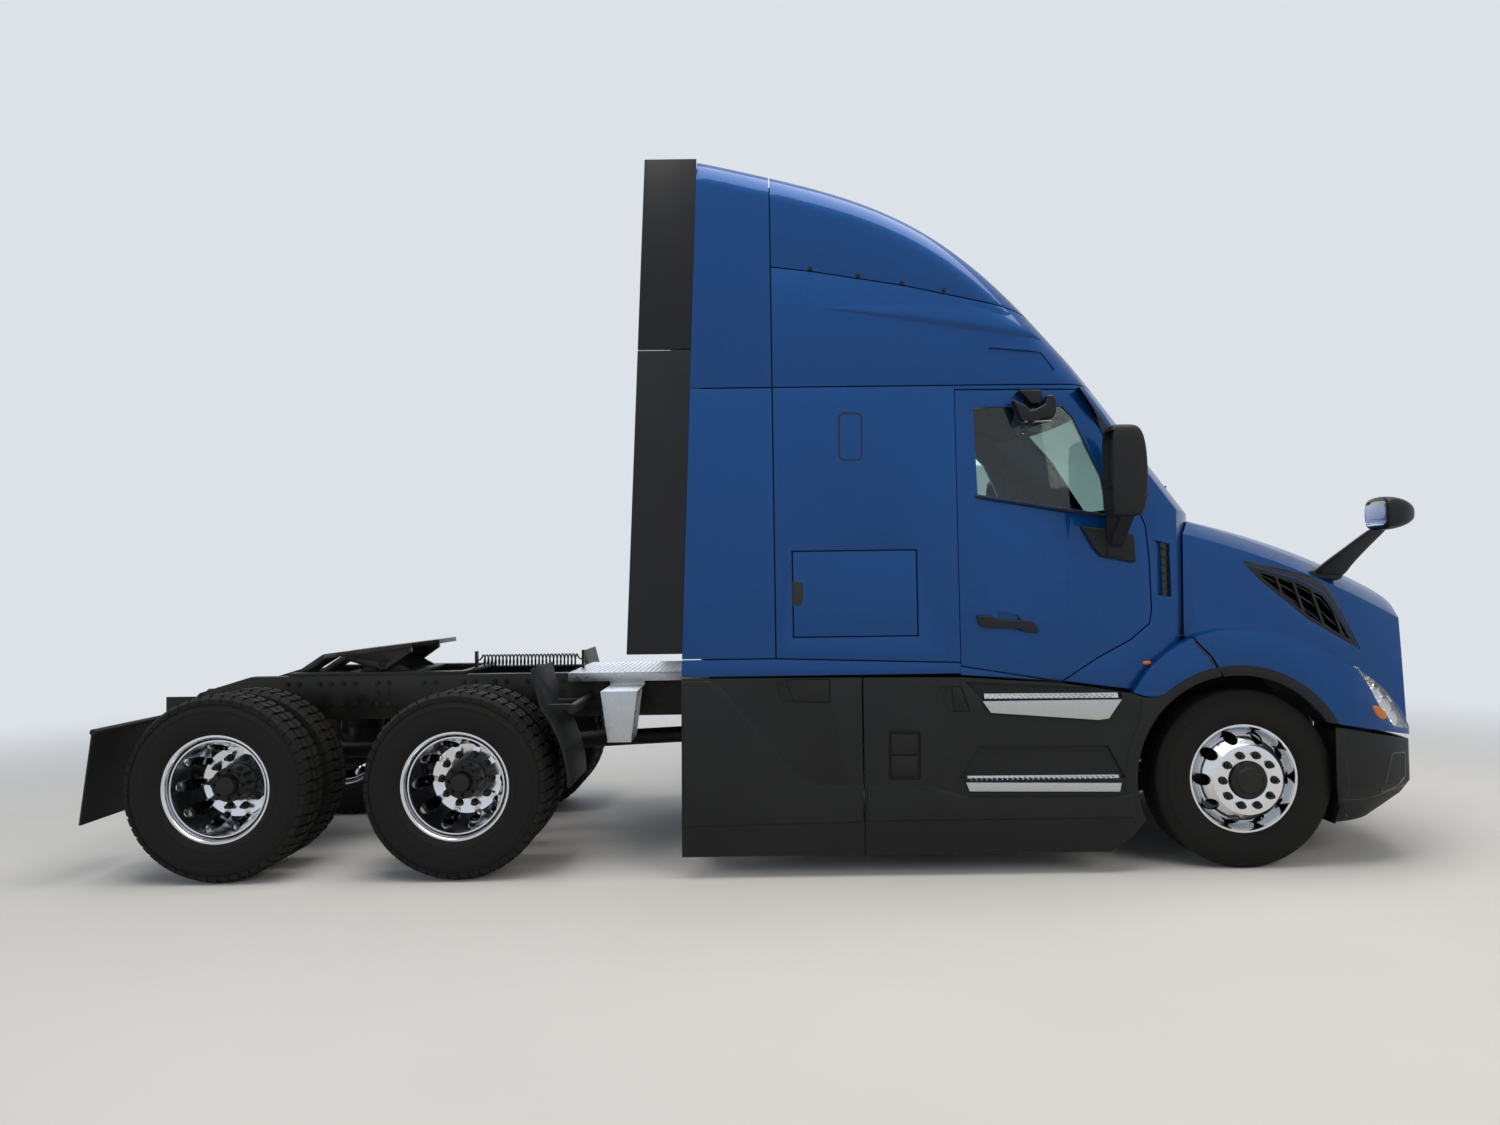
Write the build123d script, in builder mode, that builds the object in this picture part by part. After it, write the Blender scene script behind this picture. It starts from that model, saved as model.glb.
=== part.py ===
from build123d import *
import os

# Sizes in millimetres. Stations run along X from the front axle, positive to the front.
# The row's origin is on the ground, half way between the nose and the mud flaps.
nose_reach = 1250.0
flap_reach = 6450.0
front_axle_x = (flap_reach - nose_reach) / 2
drive_axle = -4380.0
rear_axle = -5701.0

# Wheels
front_tyre_radius = 496.0
rear_tyre_radius = 520.0
front_tyre_y = 1045.0
dual_centre_y = 921.5
dual_spacing = 343.0
kingpin_y = 885.0
rim_seat_radius = 285.8
rim_flange_radius = 300.0
seat_gap = 0.3

# Body
body_half_width = 1220.0
skin_half_width = 1235.0
tumblehome = 0.026
cab_base = 1000.0
cab_wall = 50.0
cab_floor_top = 1180.0
floor_thickness = 50.0
hood_wall = 28.0
panel_gap = 7.0
rear_gap_station = -2596.0
back_wall_station = -2960.0
belt_gap_height = 2717.0
cowl_station = 30.0
cowl_curve = 2000.0
cowl_height = 2000.0
rake = 0.742
seam_gap = 12.0

# Hood hinge
hood_hinge = (1130.0, 575.0)

# Frame
rail_top = 1080.0
rail_height = 270.0
rail_outer_y = 432.0
rail_flange = 85.0
rail_web = 10.0
rail_front = 930.0
rail_rear = -6190.0

os.makedirs("parts", exist_ok=True)


def side(y=0.0):
    # Seen from the truck's right: station to the right and height up
    return Plane(origin=(front_axle_x, y, 0), x_dir=(1, 0, 0), z_dir=(0, -1, 0))


def plan(z=0.0):
    # Seen from above: station and width
    return Plane(origin=(front_axle_x, 0, z))


def cross(station=0.0):
    # Seen from the front: width and height, extruded forwards
    return Plane(origin=(front_axle_x + station, 0, 0), x_dir=(0, 1, 0), z_dir=(1, 0, 0))


def at(station, y=0.0, z=0.0):
    return (front_axle_x + station, y, z)


def prism(points, grow=0.0, half_width=2000.0, y=0.0):
    # A side-view outline, grown or shrunk by an even margin and carried across the truck
    with BuildPart() as block:
        with BuildSketch(side(y)):
            with BuildLine():
                Polyline(*points, close=True)
            make_face()
            if grow:
                offset(amount=grow, kind=Kind.INTERSECTION)
        extrude(amount=half_width, both=True)
    return block.part


def finish(builder, name):
    builder.part.label = name
    export_step(builder.part, "parts/" + name + ".step")


# Cab sections from the rear to the front:
# station, narrowing, height of the side's top, corner width, corner height, crown height
cab_sections = [
    (-3500, 0, 3900, 1000, 4078, 4116),
    (-2900, 0, 3865, 1000, 4044, 4092),
    (-2600, 0, 3785, 1000, 3974, 4030),
    (-1950, 2, 3560, 970, 3778, 3842),
    (-1350, 10, 3130, 920, 3399, 3478),
    (-850, 22, 2550, 810, 2890, 2985),
    (-300, 40, 2100, 760, 2330, 2440),
    (250, 60, 1700, 720, 1780, 1880),
]


def cab_loft(inset, rear):
    # The smooth body of cab, sleeper and roof, drawn in by an inset
    with BuildPart() as body:
        for station, narrow, side_top, corner_y, corner_z, crown in cab_sections:
            low_y = body_half_width - narrow - inset
            high_y = low_y - tumblehome * (side_top - cab_base)
            corner = (corner_y - inset * 0.4, corner_z - inset)
            lean = (high_y - low_y, side_top - cab_base)
            with BuildSketch(cross(station)):
                with BuildLine():
                    Line((-low_y, cab_base), (low_y, cab_base))
                    Line((low_y, cab_base), (high_y, side_top))
                    TangentArc((high_y, side_top), corner, tangent=lean)
                    ThreePointArc(corner, (0, crown - inset), (-corner[0], corner[1]))
                    TangentArc((-high_y, side_top), (-corner[0], corner[1]), tangent=(-lean[0], lean[1]))
                    Line((-high_y, side_top), (-low_y, cab_base))
                make_face()
        loft()
        with BuildSketch(side()):
            with BuildLine():
                Polyline((rear, 900), (600, 900), (600, 4400), (rear, 4400), close=True)
            make_face()
        extrude(amount=1500, both=True, mode=Mode.INTERSECT)
    return body.part


def front_form(inset):
    # Cowl and raked windscreen: plan arcs that lean back above the cowl
    with BuildPart() as form:
        for z in (800, cowl_height, 4300):
            nose = cowl_station - inset - rake * max(0.0, z - cowl_height)
            drop = cowl_curve - (cowl_curve ** 2 - 1400.0 ** 2) ** 0.5
            with BuildSketch(plan(z)):
                with BuildLine():
                    ThreePointArc((nose - drop, -1400), (nose, 0), (nose - drop, 1400))
                    Polyline((nose - drop, 1400), (-4500, 1400), (-4500, -1400), (nose - drop, -1400))
                make_face()
        loft(ruled=True)
    return form.part


def cab_form(inset, rear=-3500.0):
    with BuildPart() as form:
        add(cab_loft(inset, rear))
        add(front_form(inset), mode=Mode.INTERSECT)
    return form.part


# Panel seams of the cab, drawn from the side as station and height
door_outline = [
    (-1570, 1148), (-1570, 2688), (-882, 2685), (-812, 2562), (-754, 2452), (-519, 1915), (-504, 1747),
    (-499, 1445), (-512, 1368), (-624, 1278), (-807, 1184), (-1015, 1054),
]
window_outline = [(-1455, 2099), (-1470, 2591), (-966, 2591), (-907, 2529), (-750, 2187), (-720, 1979)]
luggage_outline = [(-2494, 1320), (-2494, 1790), (-1809, 1790), (-1809, 1320)]
roof_seam = [(-4000, 3402), (-2578, 3402), (-2366, 3376), (-1838, 3288), (-1163, 3140), (-700, 3010),
             (600, 2760)]
sill_height = 1200.0
hood_seam = [(-310, 2200), (-310, 1404), (-325, 1335), (-265, 1262), (-185, 1179), (-136, 1087), (-60, 950)]
extender_top = (-3301, 3992)
extender_foot = (-3424, 1233)
corner_top = (-3008, 3992)
corner_foot = (-3121, 1105)


cab_outer = cab_form(0)
cab_inner = cab_form(cab_wall)
rib_outer = cab_form(cab_wall + seat_gap)
rib_depth = 22.0
rib_inner = cab_form(cab_wall + seat_gap + rib_depth)
half_gap = panel_gap / 2
door_rear = door_outline[0][0] - half_gap


def skin_panel(region, outer=cab_outer, inner=cab_inner):
    # The part of the body's skin inside a side-view region
    with BuildPart() as panel:
        add(outer)
        add(region, mode=Mode.INTERSECT)
        add(inner, mode=Mode.SUBTRACT)
    return panel.part


def corner_rear(z):
    # Station of the corner panels' rear edge at a height
    lean = (corner_top[0] - corner_foot[0]) / (corner_top[1] - corner_foot[1])
    return corner_foot[0] + lean * (z - corner_foot[1])


# Sleeper: sides between the rear seam and the door, corner panels behind it, and the sill
side_start = rear_gap_station + half_gap
corner_end = rear_gap_station - half_gap
sill_low = 1105.0
sill_front_drop = 35.0
belt_low = belt_gap_height - half_gap
belt_high = belt_gap_height + half_gap
with BuildPart() as sleeper_panels:
    add(skin_panel(prism([(side_start, sill_height + half_gap),
                          (door_rear, sill_height - sill_front_drop + half_gap),
                          (door_rear, belt_low), (side_start, belt_low)])))
    add(prism(luggage_outline, panel_gap), mode=Mode.SUBTRACT)
    add(skin_panel(prism([(corner_rear(sill_height), sill_height + half_gap),
                          (corner_end, sill_height + half_gap),
                          (corner_end, belt_low), (corner_rear(belt_low), belt_low)])))
    add(skin_panel(prism([(corner_foot[0], sill_low), (door_rear, sill_low),
                          (door_rear, sill_height - sill_front_drop - half_gap),
                          (rear_gap_station, sill_height - half_gap),
                          (corner_rear(sill_height), sill_height - half_gap)])))
    with BuildSketch(plan(900)):
        Rectangle(9000, 2 * (body_half_width - cab_wall - 60))
    extrude(amount=210, mode=Mode.SUBTRACT)
finish(sleeper_panels, "sleeper_panels")

# Windscreen: an opening seen from the front, and bent glass in it
windscreen_points = [(-830, 2085), (-735, 2735), (735, 2735), (830, 2085)]
glass_outer = cab_form(10)
glass_inner = cab_form(16)


def windscreen_prism(grow):
    with BuildPart() as hole:
        with BuildSketch(cross(-900)):
            with BuildLine():
                Polyline(*windscreen_points, close=True)
            make_face()
            fillet(vertices(), 70)
            offset(amount=grow)
        extrude(amount=1500)
    return hole.part


with BuildPart() as windscreen:
    add(skin_panel(windscreen_prism(-seat_gap), glass_outer, glass_inner))
finish(windscreen, "windscreen")

# Roof: lower panels with the forehead over the windscreen, the cap above them, and the rear band
seam_low = [(x, z - half_gap) for x, z in roof_seam[1:]]
seam_high = [(x, z + half_gap) for x, z in roof_seam[1:]]
with BuildPart() as roof_panels:
    add(skin_panel(prism([(side_start, belt_high), (600, belt_high)] + seam_low[:0:-1]
                         + [seam_low[0], (side_start, seam_low[0][1])])))
    add(skin_panel(prism([(side_start, seam_high[0][1])] + seam_high + [(600, 4300), (side_start, 4300)])))
    add(skin_panel(prism([(corner_rear(belt_high), belt_high), (corner_end, belt_high), (corner_end, 4300),
                          (corner_rear(4300), 4300)])))
    add(windscreen_prism(0), mode=Mode.SUBTRACT)
finish(roof_panels, "roof_panels")

# Extenders: two flat black panels a side behind the corner panels, square at the top
extender_wall = 30.0
extender_high = 4035.0
extender_split = 2939.0
with BuildPart() as extenders:
    add(prism([extender_foot, (corner_rear(extender_foot[1]) - seat_gap, extender_foot[1]),
               (corner_rear(extender_high) - seat_gap, extender_high),
               (extender_top[0], extender_high)]))
    with BuildSketch(cross(-3600)):
        for sign in (-1, 1):
            with BuildLine():
                foot_y = body_half_width - tumblehome * (extender_foot[1] - cab_base)
                high_y = body_half_width - tumblehome * (extender_high - cab_base)
                Polyline((sign * foot_y, extender_foot[1]), (sign * high_y, extender_high),
                         (sign * (high_y - extender_wall), extender_high),
                         (sign * (foot_y - extender_wall), extender_foot[1]), close=True)
            make_face()
    extrude(amount=1000, mode=Mode.INTERSECT)
    with Locations(at(-3300, 0, extender_split)):
        Box(1000, 3000, panel_gap, mode=Mode.SUBTRACT)
finish(extenders, "extenders")

# Cab shell: firewall, cowl, pillars and door frames, open for doors and windscreen
with BuildPart() as cab_shell:
    add(skin_panel(prism([(door_rear + seat_gap, 1097), (-1000, 1055), (-600, 1002), (700, 1002),
                          (700, belt_low),
                          (door_rear + seat_gap, belt_low)])))
    add(prism(door_outline, panel_gap), mode=Mode.SUBTRACT)
    add(windscreen_prism(0), mode=Mode.SUBTRACT)
    with BuildSketch(plan(900)):
        Rectangle(9000, 2 * (body_half_width - cab_wall - 60))
    extrude(amount=cab_floor_top - floor_thickness - 900, mode=Mode.SUBTRACT)

# Ribs behind the seams and round the doors: what panels are fixed to and doors close against
rib_reach = 28.0


def seam_band(points):
    return prism([(x, z - rib_reach) for x, z in points] + [(x, z + rib_reach) for x, z in reversed(points)])


with BuildPart() as rib_region:
    add(seam_band([(-3000, belt_gap_height), (0, belt_gap_height)]))
    add(seam_band([(-3000, sill_height), (rear_gap_station, sill_height),
                   (door_rear, sill_height - sill_front_drop)]))
    add(seam_band(roof_seam[1:]))
    add(prism([(rear_gap_station - rib_reach, sill_low), (rear_gap_station + rib_reach, sill_low),
               (rear_gap_station + rib_reach, 4300), (rear_gap_station - rib_reach, 4300)]))
    for outline in (door_outline, luggage_outline):
        add(prism(outline, rib_reach))
    for outline in (door_outline, luggage_outline):
        add(prism(outline, -rib_reach), mode=Mode.SUBTRACT)
with BuildPart() as ribs:
    add(rib_outer)
    add(rib_region.part, mode=Mode.INTERSECT)
    add(rib_inner, mode=Mode.SUBTRACT)
    add(windscreen_prism(30), mode=Mode.SUBTRACT)
    with BuildSketch(plan(900)):
        Rectangle(9000, 2 * (body_half_width - cab_wall - 60))
    extrude(amount=400, mode=Mode.SUBTRACT)

finish(ribs, "inner_ribs")

# Doors, each one wall thick, with the window cut, and the glass in it
sides = [("right", -1), ("left", 1)]


def half_space(sign):
    with BuildPart() as half:
        with BuildSketch(plan(0)):
            with Locations((-1500, sign * 1500)):
                Rectangle(8000, 2400)
        extrude(amount=4500)
    return half.part


door_region = prism(door_outline)
glass_region = prism(window_outline, -seat_gap)
luggage_region = prism(luggage_outline)
for name, sign in sides:
    half = half_space(sign)
    with BuildPart() as door:
        add(half)
        add(skin_panel(door_region), mode=Mode.INTERSECT)
        add(prism(window_outline), mode=Mode.SUBTRACT)
    finish(door, "door_" + name)
    with BuildPart() as door_glass:
        add(half)
        add(skin_panel(glass_region, glass_outer, glass_inner), mode=Mode.INTERSECT)
    finish(door_glass, "door_glass_" + name)
    with BuildPart() as luggage_door:
        add(half)
        add(skin_panel(luggage_region), mode=Mode.INTERSECT)
    finish(luggage_door, "luggage_door_" + name)

# Nose and fenders
nose_corner = (1030.0, 1000.0)
fender_straight = 420.0
bumper_base = 217.0


def nose_outline(inset, rear):
    # Plan outline that hood, fenders and bumper share; opens inside BuildLine
    half = skin_half_width - inset
    corner = (nose_corner[0] - inset, nose_corner[1] - inset * 0.7)
    TangentArc((fender_straight, half), corner, tangent=(1, 0))
    ThreePointArc(corner, (nose_reach - inset, 0), (corner[0], -corner[1]))
    TangentArc((fender_straight, -half), (corner[0], -corner[1]), tangent=(1, 0))
    Polyline((fender_straight, -half), (rear, -half), (rear, half), (fender_straight, half))


# Hood sections: station, crease half width, crease height, crown height, foot half width
hood_sections = [
    (-420, 1085, 1905, 2075, 1140),
    (250, 1000, 1720, 1950, 1080),
    (800, 880, 1510, 1775, 990),
    (1300, 740, 1270, 1540, 900),
]
hood_nose = [(1010, 1730), (1105, 1640), (1165, 1540), (1205, 1430), (1232, 1300), (1250, 1150), (1250, 600)]


def hood_upper(inset):
    with BuildPart() as body:
        for station, crease_y, crease_z, crown, foot_y in hood_sections:
            foot = (foot_y - inset, 650)
            crease = (crease_y - inset, crease_z - inset * 0.5)
            shoulder = (crease_y - 130 - inset * 0.5, crease_z + 95 - inset)
            with BuildSketch(cross(station)):
                with BuildLine():
                    Line((-foot[0], 650), foot)
                    Line(foot, crease)
                    Line(crease, shoulder)
                    ThreePointArc(shoulder, (0, crown - inset), (-shoulder[0], shoulder[1]))
                    Line((-shoulder[0], shoulder[1]), (-crease[0], crease[1]))
                    Line((-crease[0], crease[1]), (-foot[0], 650))
                make_face()
        loft()
        with BuildSketch(side()):
            with BuildLine():
                Polyline((-900, 2300), (950, 2300), *hood_nose, (-900, 600), close=True)
            make_face()
            offset(amount=-inset, kind=Kind.INTERSECTION)
        extrude(amount=1500, both=True, mode=Mode.INTERSECT)
        with BuildSketch(plan(500)):
            with BuildLine():
                nose_outline(inset, -900)
            make_face()
        extrude(amount=2000, mode=Mode.INTERSECT)
    return body.part


def fender_form(inset):
    with BuildPart() as body:
        with BuildSketch(side()):
            with BuildLine():
                ThreePointArc((-640, 960), (-330, 1268), (0, 1325))
                ThreePointArc((0, 1325), (300, 1262), (520, 1150))
                ThreePointArc((520, 1150), (830, 960), (1075, 690))
                Polyline((1075, 690), (1075, 600), (-640, 600), (-640, 960))
            make_face()
            offset(amount=-inset, kind=Kind.INTERSECTION)
        extrude(amount=1500, both=True)
        with BuildSketch(plan(500)):
            with BuildLine():
                nose_outline(inset, -900)
            make_face()
        extrude(amount=2000, mode=Mode.INTERSECT)
    return body.part


upper_outer = hood_upper(0)
upper_inner = hood_upper(hood_wall)
fender_outer = fender_form(0)
fender_inner = fender_form(hood_wall)
arch_centre = (-45.0, 505.0)
arch_radius = 570.0
arch_lip = 55.0


def arch(radius):
    with BuildPart() as round_hole:
        with BuildSketch(side()):
            with Locations(arch_centre):
                Circle(radius)
        extrude(amount=1500, both=True)
    return round_hole.part


hood_floor = [(-1500, 400), (-1500, 812), (430, 812), (1040, 705), (1400, 698), (1400, 400)]
with BuildPart() as hood_skin_build:
    add(upper_outer)
    add(fender_outer)
    add(upper_inner, mode=Mode.SUBTRACT)
    add(fender_inner, mode=Mode.SUBTRACT)
    add(prism(hood_floor), mode=Mode.SUBTRACT)
hood_skin = hood_skin_build.part

# Openings of the hood, drawn from the side and from the front
lamp_outline = [(560, 1185), (760, 1048), (1010, 745), (880, 765), (770, 880), (700, 1000)]
vent_outline = [(98, 1690), (429, 1600), (600, 1520), (710, 1364), (800, 1195), (480, 1370), (200, 1590)]
grille_half_top = 560.0
grille_half_foot = 660.0
grille_points = [(-grille_half_foot, 790), (grille_half_foot, 790), (grille_half_top, 1440),
                 (-grille_half_top, 1440)]


def side_window(points, grow, inner_y):
    # The same outline cut on both flanks, leaving the middle alone
    with BuildPart() as both:
        add(prism(points, grow))
        with BuildSketch(plan(0)):
            Rectangle(9000, 2 * inner_y)
        extrude(amount=4500, mode=Mode.SUBTRACT)
    return both.part


def grille_prism(grow):
    with BuildPart() as hole:
        with BuildSketch(cross(900)):
            with BuildLine():
                Polyline(*grille_points, close=True)
            make_face()
            fillet(vertices(), 60)
            offset(amount=grow)
        extrude(amount=600)
    return hole.part


hinge_ear_y = 360.0
hinge_ear_width = 40.0
hinge_pin_radius = 15.0
pin_clearance = 0.05
with BuildPart() as hood:
    add(hood_skin)
    add(prism(hood_seam + [(-60, 600), (1500, 600), (1500, 2200)]), mode=Mode.INTERSECT)
    add(front_form(-seam_gap), mode=Mode.SUBTRACT)
    add(arch(arch_radius + arch_lip + seat_gap), mode=Mode.SUBTRACT)
    add(side_window(lamp_outline, seat_gap, 700), mode=Mode.SUBTRACT)
    add(side_window(vent_outline, seat_gap, 600), mode=Mode.SUBTRACT)
    add(grille_prism(seat_gap), mode=Mode.SUBTRACT)
    for ear_y in (-hinge_ear_y, hinge_ear_y):
        with BuildSketch(side(ear_y)):
            with BuildLine():
                Polyline((1107, 550), (1153, 550), (1160, 650), (1222, 760), (1232, 785), (1205, 785),
                         (1107, 650),
                         close=True)
            make_face()
            with Locations(hood_hinge):
                Circle(hinge_pin_radius + pin_clearance, mode=Mode.SUBTRACT)
        extrude(amount=hinge_ear_width / 2, both=True)
finish(hood, "hood")

# Arch lips: black bands round the front wheels
with BuildPart() as lip_build:
    add(fender_outer)
    add(fender_inner, mode=Mode.SUBTRACT)
    add(arch(arch_radius + arch_lip), mode=Mode.INTERSECT)
    add(arch(arch_radius), mode=Mode.SUBTRACT)
    with BuildSketch(plan(0)):
        Rectangle(9000, 2100)
    extrude(amount=2000, mode=Mode.SUBTRACT)
with BuildPart() as arch_lips:
    add(lip_build.part)
    add(prism(hood_seam + [(-60, 600), (1500, 600), (1500, 2200)]), mode=Mode.INTERSECT)
    add(prism(hood_floor), mode=Mode.SUBTRACT)

# Painted fender tails between the seam and the doors, on the cab's side
hood_tail = [(x - seam_gap, z) for x, z in hood_seam]
with BuildPart() as fender_tails:
    add(fender_outer)
    add(fender_inner, mode=Mode.SUBTRACT)
    add(prism([(-560, 967), (-640, 992), (-1200, 1068), (-1200, 2200)] + hood_tail), mode=Mode.INTERSECT)
    add(arch(arch_radius + arch_lip + seat_gap), mode=Mode.SUBTRACT)
    add(cab_form(-seat_gap), mode=Mode.SUBTRACT)
    with BuildSketch(plan(0)):
        Rectangle(9000, 2250)
    extrude(amount=2000, mode=Mode.SUBTRACT)

with BuildPart() as cab_panels:
    add(cab_shell.part)
    add(fender_tails.part)
finish(cab_panels, "cab_panels")

# Headlamps: slanting lenses in the nose's flanks
with BuildPart() as headlamps:
    add(hood_skin)
    add(side_window(lamp_outline, 0, 700), mode=Mode.INTERSECT)
finish(headlamps, "headlamps")

# Side grilles: a rim round slanting bars
vent_bars = 7
with BuildPart() as vent_holes:
    add(side_window(vent_outline, -22, 600))
    for bar in range(vent_bars):
        head = 150 + bar * 100
        add(prism([(head, 1720), (head + 18, 1720), (head + 198, 1150), (head + 180, 1150)]),
            mode=Mode.SUBTRACT)
with BuildPart() as side_grilles:
    add(hood_skin)
    add(side_window(vent_outline, 0, 600), mode=Mode.INTERSECT)
    add(vent_holes.part, mode=Mode.SUBTRACT)

# Front grille: a rim round level bars, joined by three uprights
grille_bars = 9
grille_pitch = 65.0
grille_bar_height = 24.0
with BuildPart() as grille_holes:
    add(grille_prism(-28))
    for bar in range(grille_bars):
        with Locations(at(1150, 0, 860 + bar * grille_pitch)):
            Box(700, 1500, grille_bar_height, mode=Mode.SUBTRACT)
    with Locations(at(1150, -300, 1100), at(1150, 0, 1100), at(1150, 300, 1100)):
        Box(700, 16, 900, mode=Mode.SUBTRACT)
with BuildPart() as front_grille:
    add(hood_skin)
    add(grille_prism(0), mode=Mode.INTERSECT)
    add(grille_holes.part, mode=Mode.SUBTRACT)

with BuildPart() as hood_trim:
    add(arch_lips.part)
    add(side_grilles.part)
    add(front_grille.part)
finish(hood_trim, "hood_trim")

# Bumper: a hollow band round the nose, with its chin drawn back
bumper_wall = 40.0
bumper_rear = 500.0
bumper_levels = [(bumper_base, 190), (372, 45), (447, 4), (900, 4)]


def bumper_form(inset):
    with BuildPart() as form:
        for z, drawn in bumper_levels:
            with BuildSketch(plan(z)):
                with BuildLine():
                    nose_outline(drawn + inset, fender_straight - 100)
                make_face()
        loft(ruled=True)
    return form.part


steer_sweep = 592.0
with BuildPart() as steer_space:
    with Locations(at(0, -kingpin_y, 600), at(0, kingpin_y, 600)):
        Cylinder(steer_sweep, 1300)
with BuildPart() as bumper:
    add(bumper_form(0))
    add(bumper_form(bumper_wall), mode=Mode.SUBTRACT)
    add(prism([(bumper_rear, 200), (bumper_rear - 60, 790), (1040, 680), (1300, 640), (1300, 200)]),
        mode=Mode.INTERSECT)
    add(steer_space.part, mode=Mode.SUBTRACT)
    with BuildSketch(cross(900)):
        with Locations((0, 470)):
            SlotOverall(1100, 150)
        with Locations((-hinge_ear_y, 712.5), (hinge_ear_y, 712.5)):
            Rectangle(hinge_ear_width + 20, 305)
    extrude(amount=600, mode=Mode.SUBTRACT)
finish(bumper, "bumper")

# Skirts: two black panels a side, split under the cab
skirt_wall = 30.0
skirt_split = -2122.0
front_skirt_outline = [
    (skirt_split + half_gap, 120), (skirt_split + half_gap, 1090), (-1577, 1084), (-1000, 1042), (-640, 985),
    (-560, 960), (-500, 800), (-548, 584), (-571, 289), (-650, 200), (-773, 120),
]
rear_skirt_outline = [(-3128, 120), (-3121, 1095), (skirt_split - half_gap, 1090),
                      (skirt_split - half_gap, 120)]
step_outlines = [
    [(-1464, 953), (-699, 953), (-772, 850), (-830, 843), (-1420, 890)],
    [(-1563, 510), (-1545, 462), (-720, 450), (-711, 496)],
]
step_reach = 1250.0
step_inner_y = 1120.0
with BuildPart() as steps:
    for outline in step_outlines:
        add(prism(outline, half_width=step_reach))
    with Locations(at(-1100, 0, 700)):
        Box(2000, 2 * step_inner_y, 900, mode=Mode.SUBTRACT)

with BuildPart() as skirts:
    add(prism(front_skirt_outline, half_width=skin_half_width))
    add(prism(rear_skirt_outline, half_width=skin_half_width))
    add(arch(arch_radius), mode=Mode.SUBTRACT)
    with Locations(at(-1500, 0, 700)):
        Box(6000, 2 * (skin_half_width - skirt_wall), 2000, mode=Mode.SUBTRACT)
    for outline in step_outlines:
        add(prism(outline, seat_gap), mode=Mode.SUBTRACT)
finish(skirts, "skirts")

# Cab floor's underside, and the mounts under it on the rails
floor_low = cab_floor_top - floor_thickness
mount_height = floor_low - seat_gap - rail_top

# What the frame's front arms stop short of
with BuildPart() as bumper_seat:
    add(bumper_form(-20))
    add(bumper_form(bumper_wall + seat_gap), mode=Mode.SUBTRACT)

# Frame: two channel rails, each with its cab mounts and an arm down to the bumper
skirt_inner_y = skin_half_width - skirt_wall
skirt_arm_z = 870.0
with BuildPart() as frame_rails:
    for sign in (-1, 1):
        with BuildSketch(side(sign * rail_outer_y)):
            with BuildLine():
                Polyline((rail_rear, 880), (rail_rear, 985), (-5870, rail_top), (rail_front, rail_top),
                         (rail_front, rail_top - rail_height), (-5950, rail_top - rail_height), close=True)
            make_face()
        extrude(amount=sign * rail_flange)
        with BuildSketch(side(sign * (rail_outer_y - rail_web))):
            with BuildLine():
                Polyline((rail_rear - 1, 895), (rail_rear - 1, 970), (-5870, rail_top - 12),
                         (rail_front + 1, rail_top - 12), (rail_front + 1, rail_top - rail_height + 12),
                         (-5950, rail_top - rail_height + 12), close=True)
            make_face()
        extrude(amount=sign * rail_flange, mode=Mode.SUBTRACT)
    for station in (-2750, -250):
        with Locations(at(station, rail_outer_y - 42, rail_top + mount_height / 2),
                       at(station, 42 - rail_outer_y, rail_top + mount_height / 2)):
            Box(150, 80, mount_height)
    for sign in (-1, 1):
        with BuildSketch(side(sign * 415)):
            with BuildLine():
                Polyline((700, 1000), (rail_front, 1000), (1220, 600), (1220, 540), (1100, 540), (1100, 480),
                         (1000, 480), (700, 820), close=True)
            make_face()
        extrude(amount=10, both=True)
    add(bumper_seat.part, mode=Mode.SUBTRACT)
    for sign in (-1, 1):
        with BuildSketch(side(sign * 405)):
            with Locations(hood_hinge):
                Circle(hinge_pin_radius)
        extrude(amount=sign * 80)

# Cross members that stand between the rails' webs, and outriggers on the rails that carry the skirts.
# The first is low enough for the rails' tapered ends, the last stands between the bumper's arms.
web_inner_y = rail_outer_y - rail_web
cross_low = rail_top - rail_height + 30
cross_high = rail_top - 30
# Station, half width between, low and high
cross_table = [(-6150, web_inner_y, 894, 970), (-5040, web_inner_y, cross_low, cross_high),
               (-3700, web_inner_y, cross_low, cross_high), (-2500, web_inner_y, cross_low, cross_high),
               (-1300, web_inner_y, cross_low, cross_high), (860, 405, cross_low, cross_high)]
with BuildPart() as cross_members:
    for station, half_width, low, high in cross_table:
        with Locations(at(station, 0, (low + high) / 2)):
            Box(60, 2 * (half_width - seat_gap), high - low)
    for station, reach in ((-2950, skirt_inner_y), (-2300, skirt_inner_y), (-1900, skirt_inner_y),
                           (-960, step_inner_y)):
        with Locations(at(station, (rail_outer_y + reach) / 2, skirt_arm_z),
                       at(station, -(rail_outer_y + reach) / 2, skirt_arm_z)):
            Box(50, reach - rail_outer_y - 2 * seat_gap, 50)

# Wheels. Profiles are radius and offset from the tyre's centre plane, outwards positive.
tyre_profile = [(24, -138), (70, -149), (130, -146), (180, -132), (212, -112), (219, -60)]
bead = [(rim_seat_radius + seat_gap, -103.6), (rim_flange_radius + seat_gap, -108.6),
        (rim_flange_radius + seat_gap, -116)]


def wheel_plane(station, y, z, sign):
    # Sketch X is the radius and sketch Y runs outwards along the axle
    return Plane(origin=(front_axle_x + station, y, z), x_dir=(1, 0, 0), z_dir=(0, 0, sign))


def spun(profile, station, y, z, sign):
    axle = Axis((front_axle_x + station, y, z), (0, 1, 0))
    with BuildPart() as ring:
        with BuildSketch(wheel_plane(station, y, z, sign)):
            with BuildLine():
                Polyline(*profile, close=True)
            make_face()
        revolve(axis=axle)
    return ring.part


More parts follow.
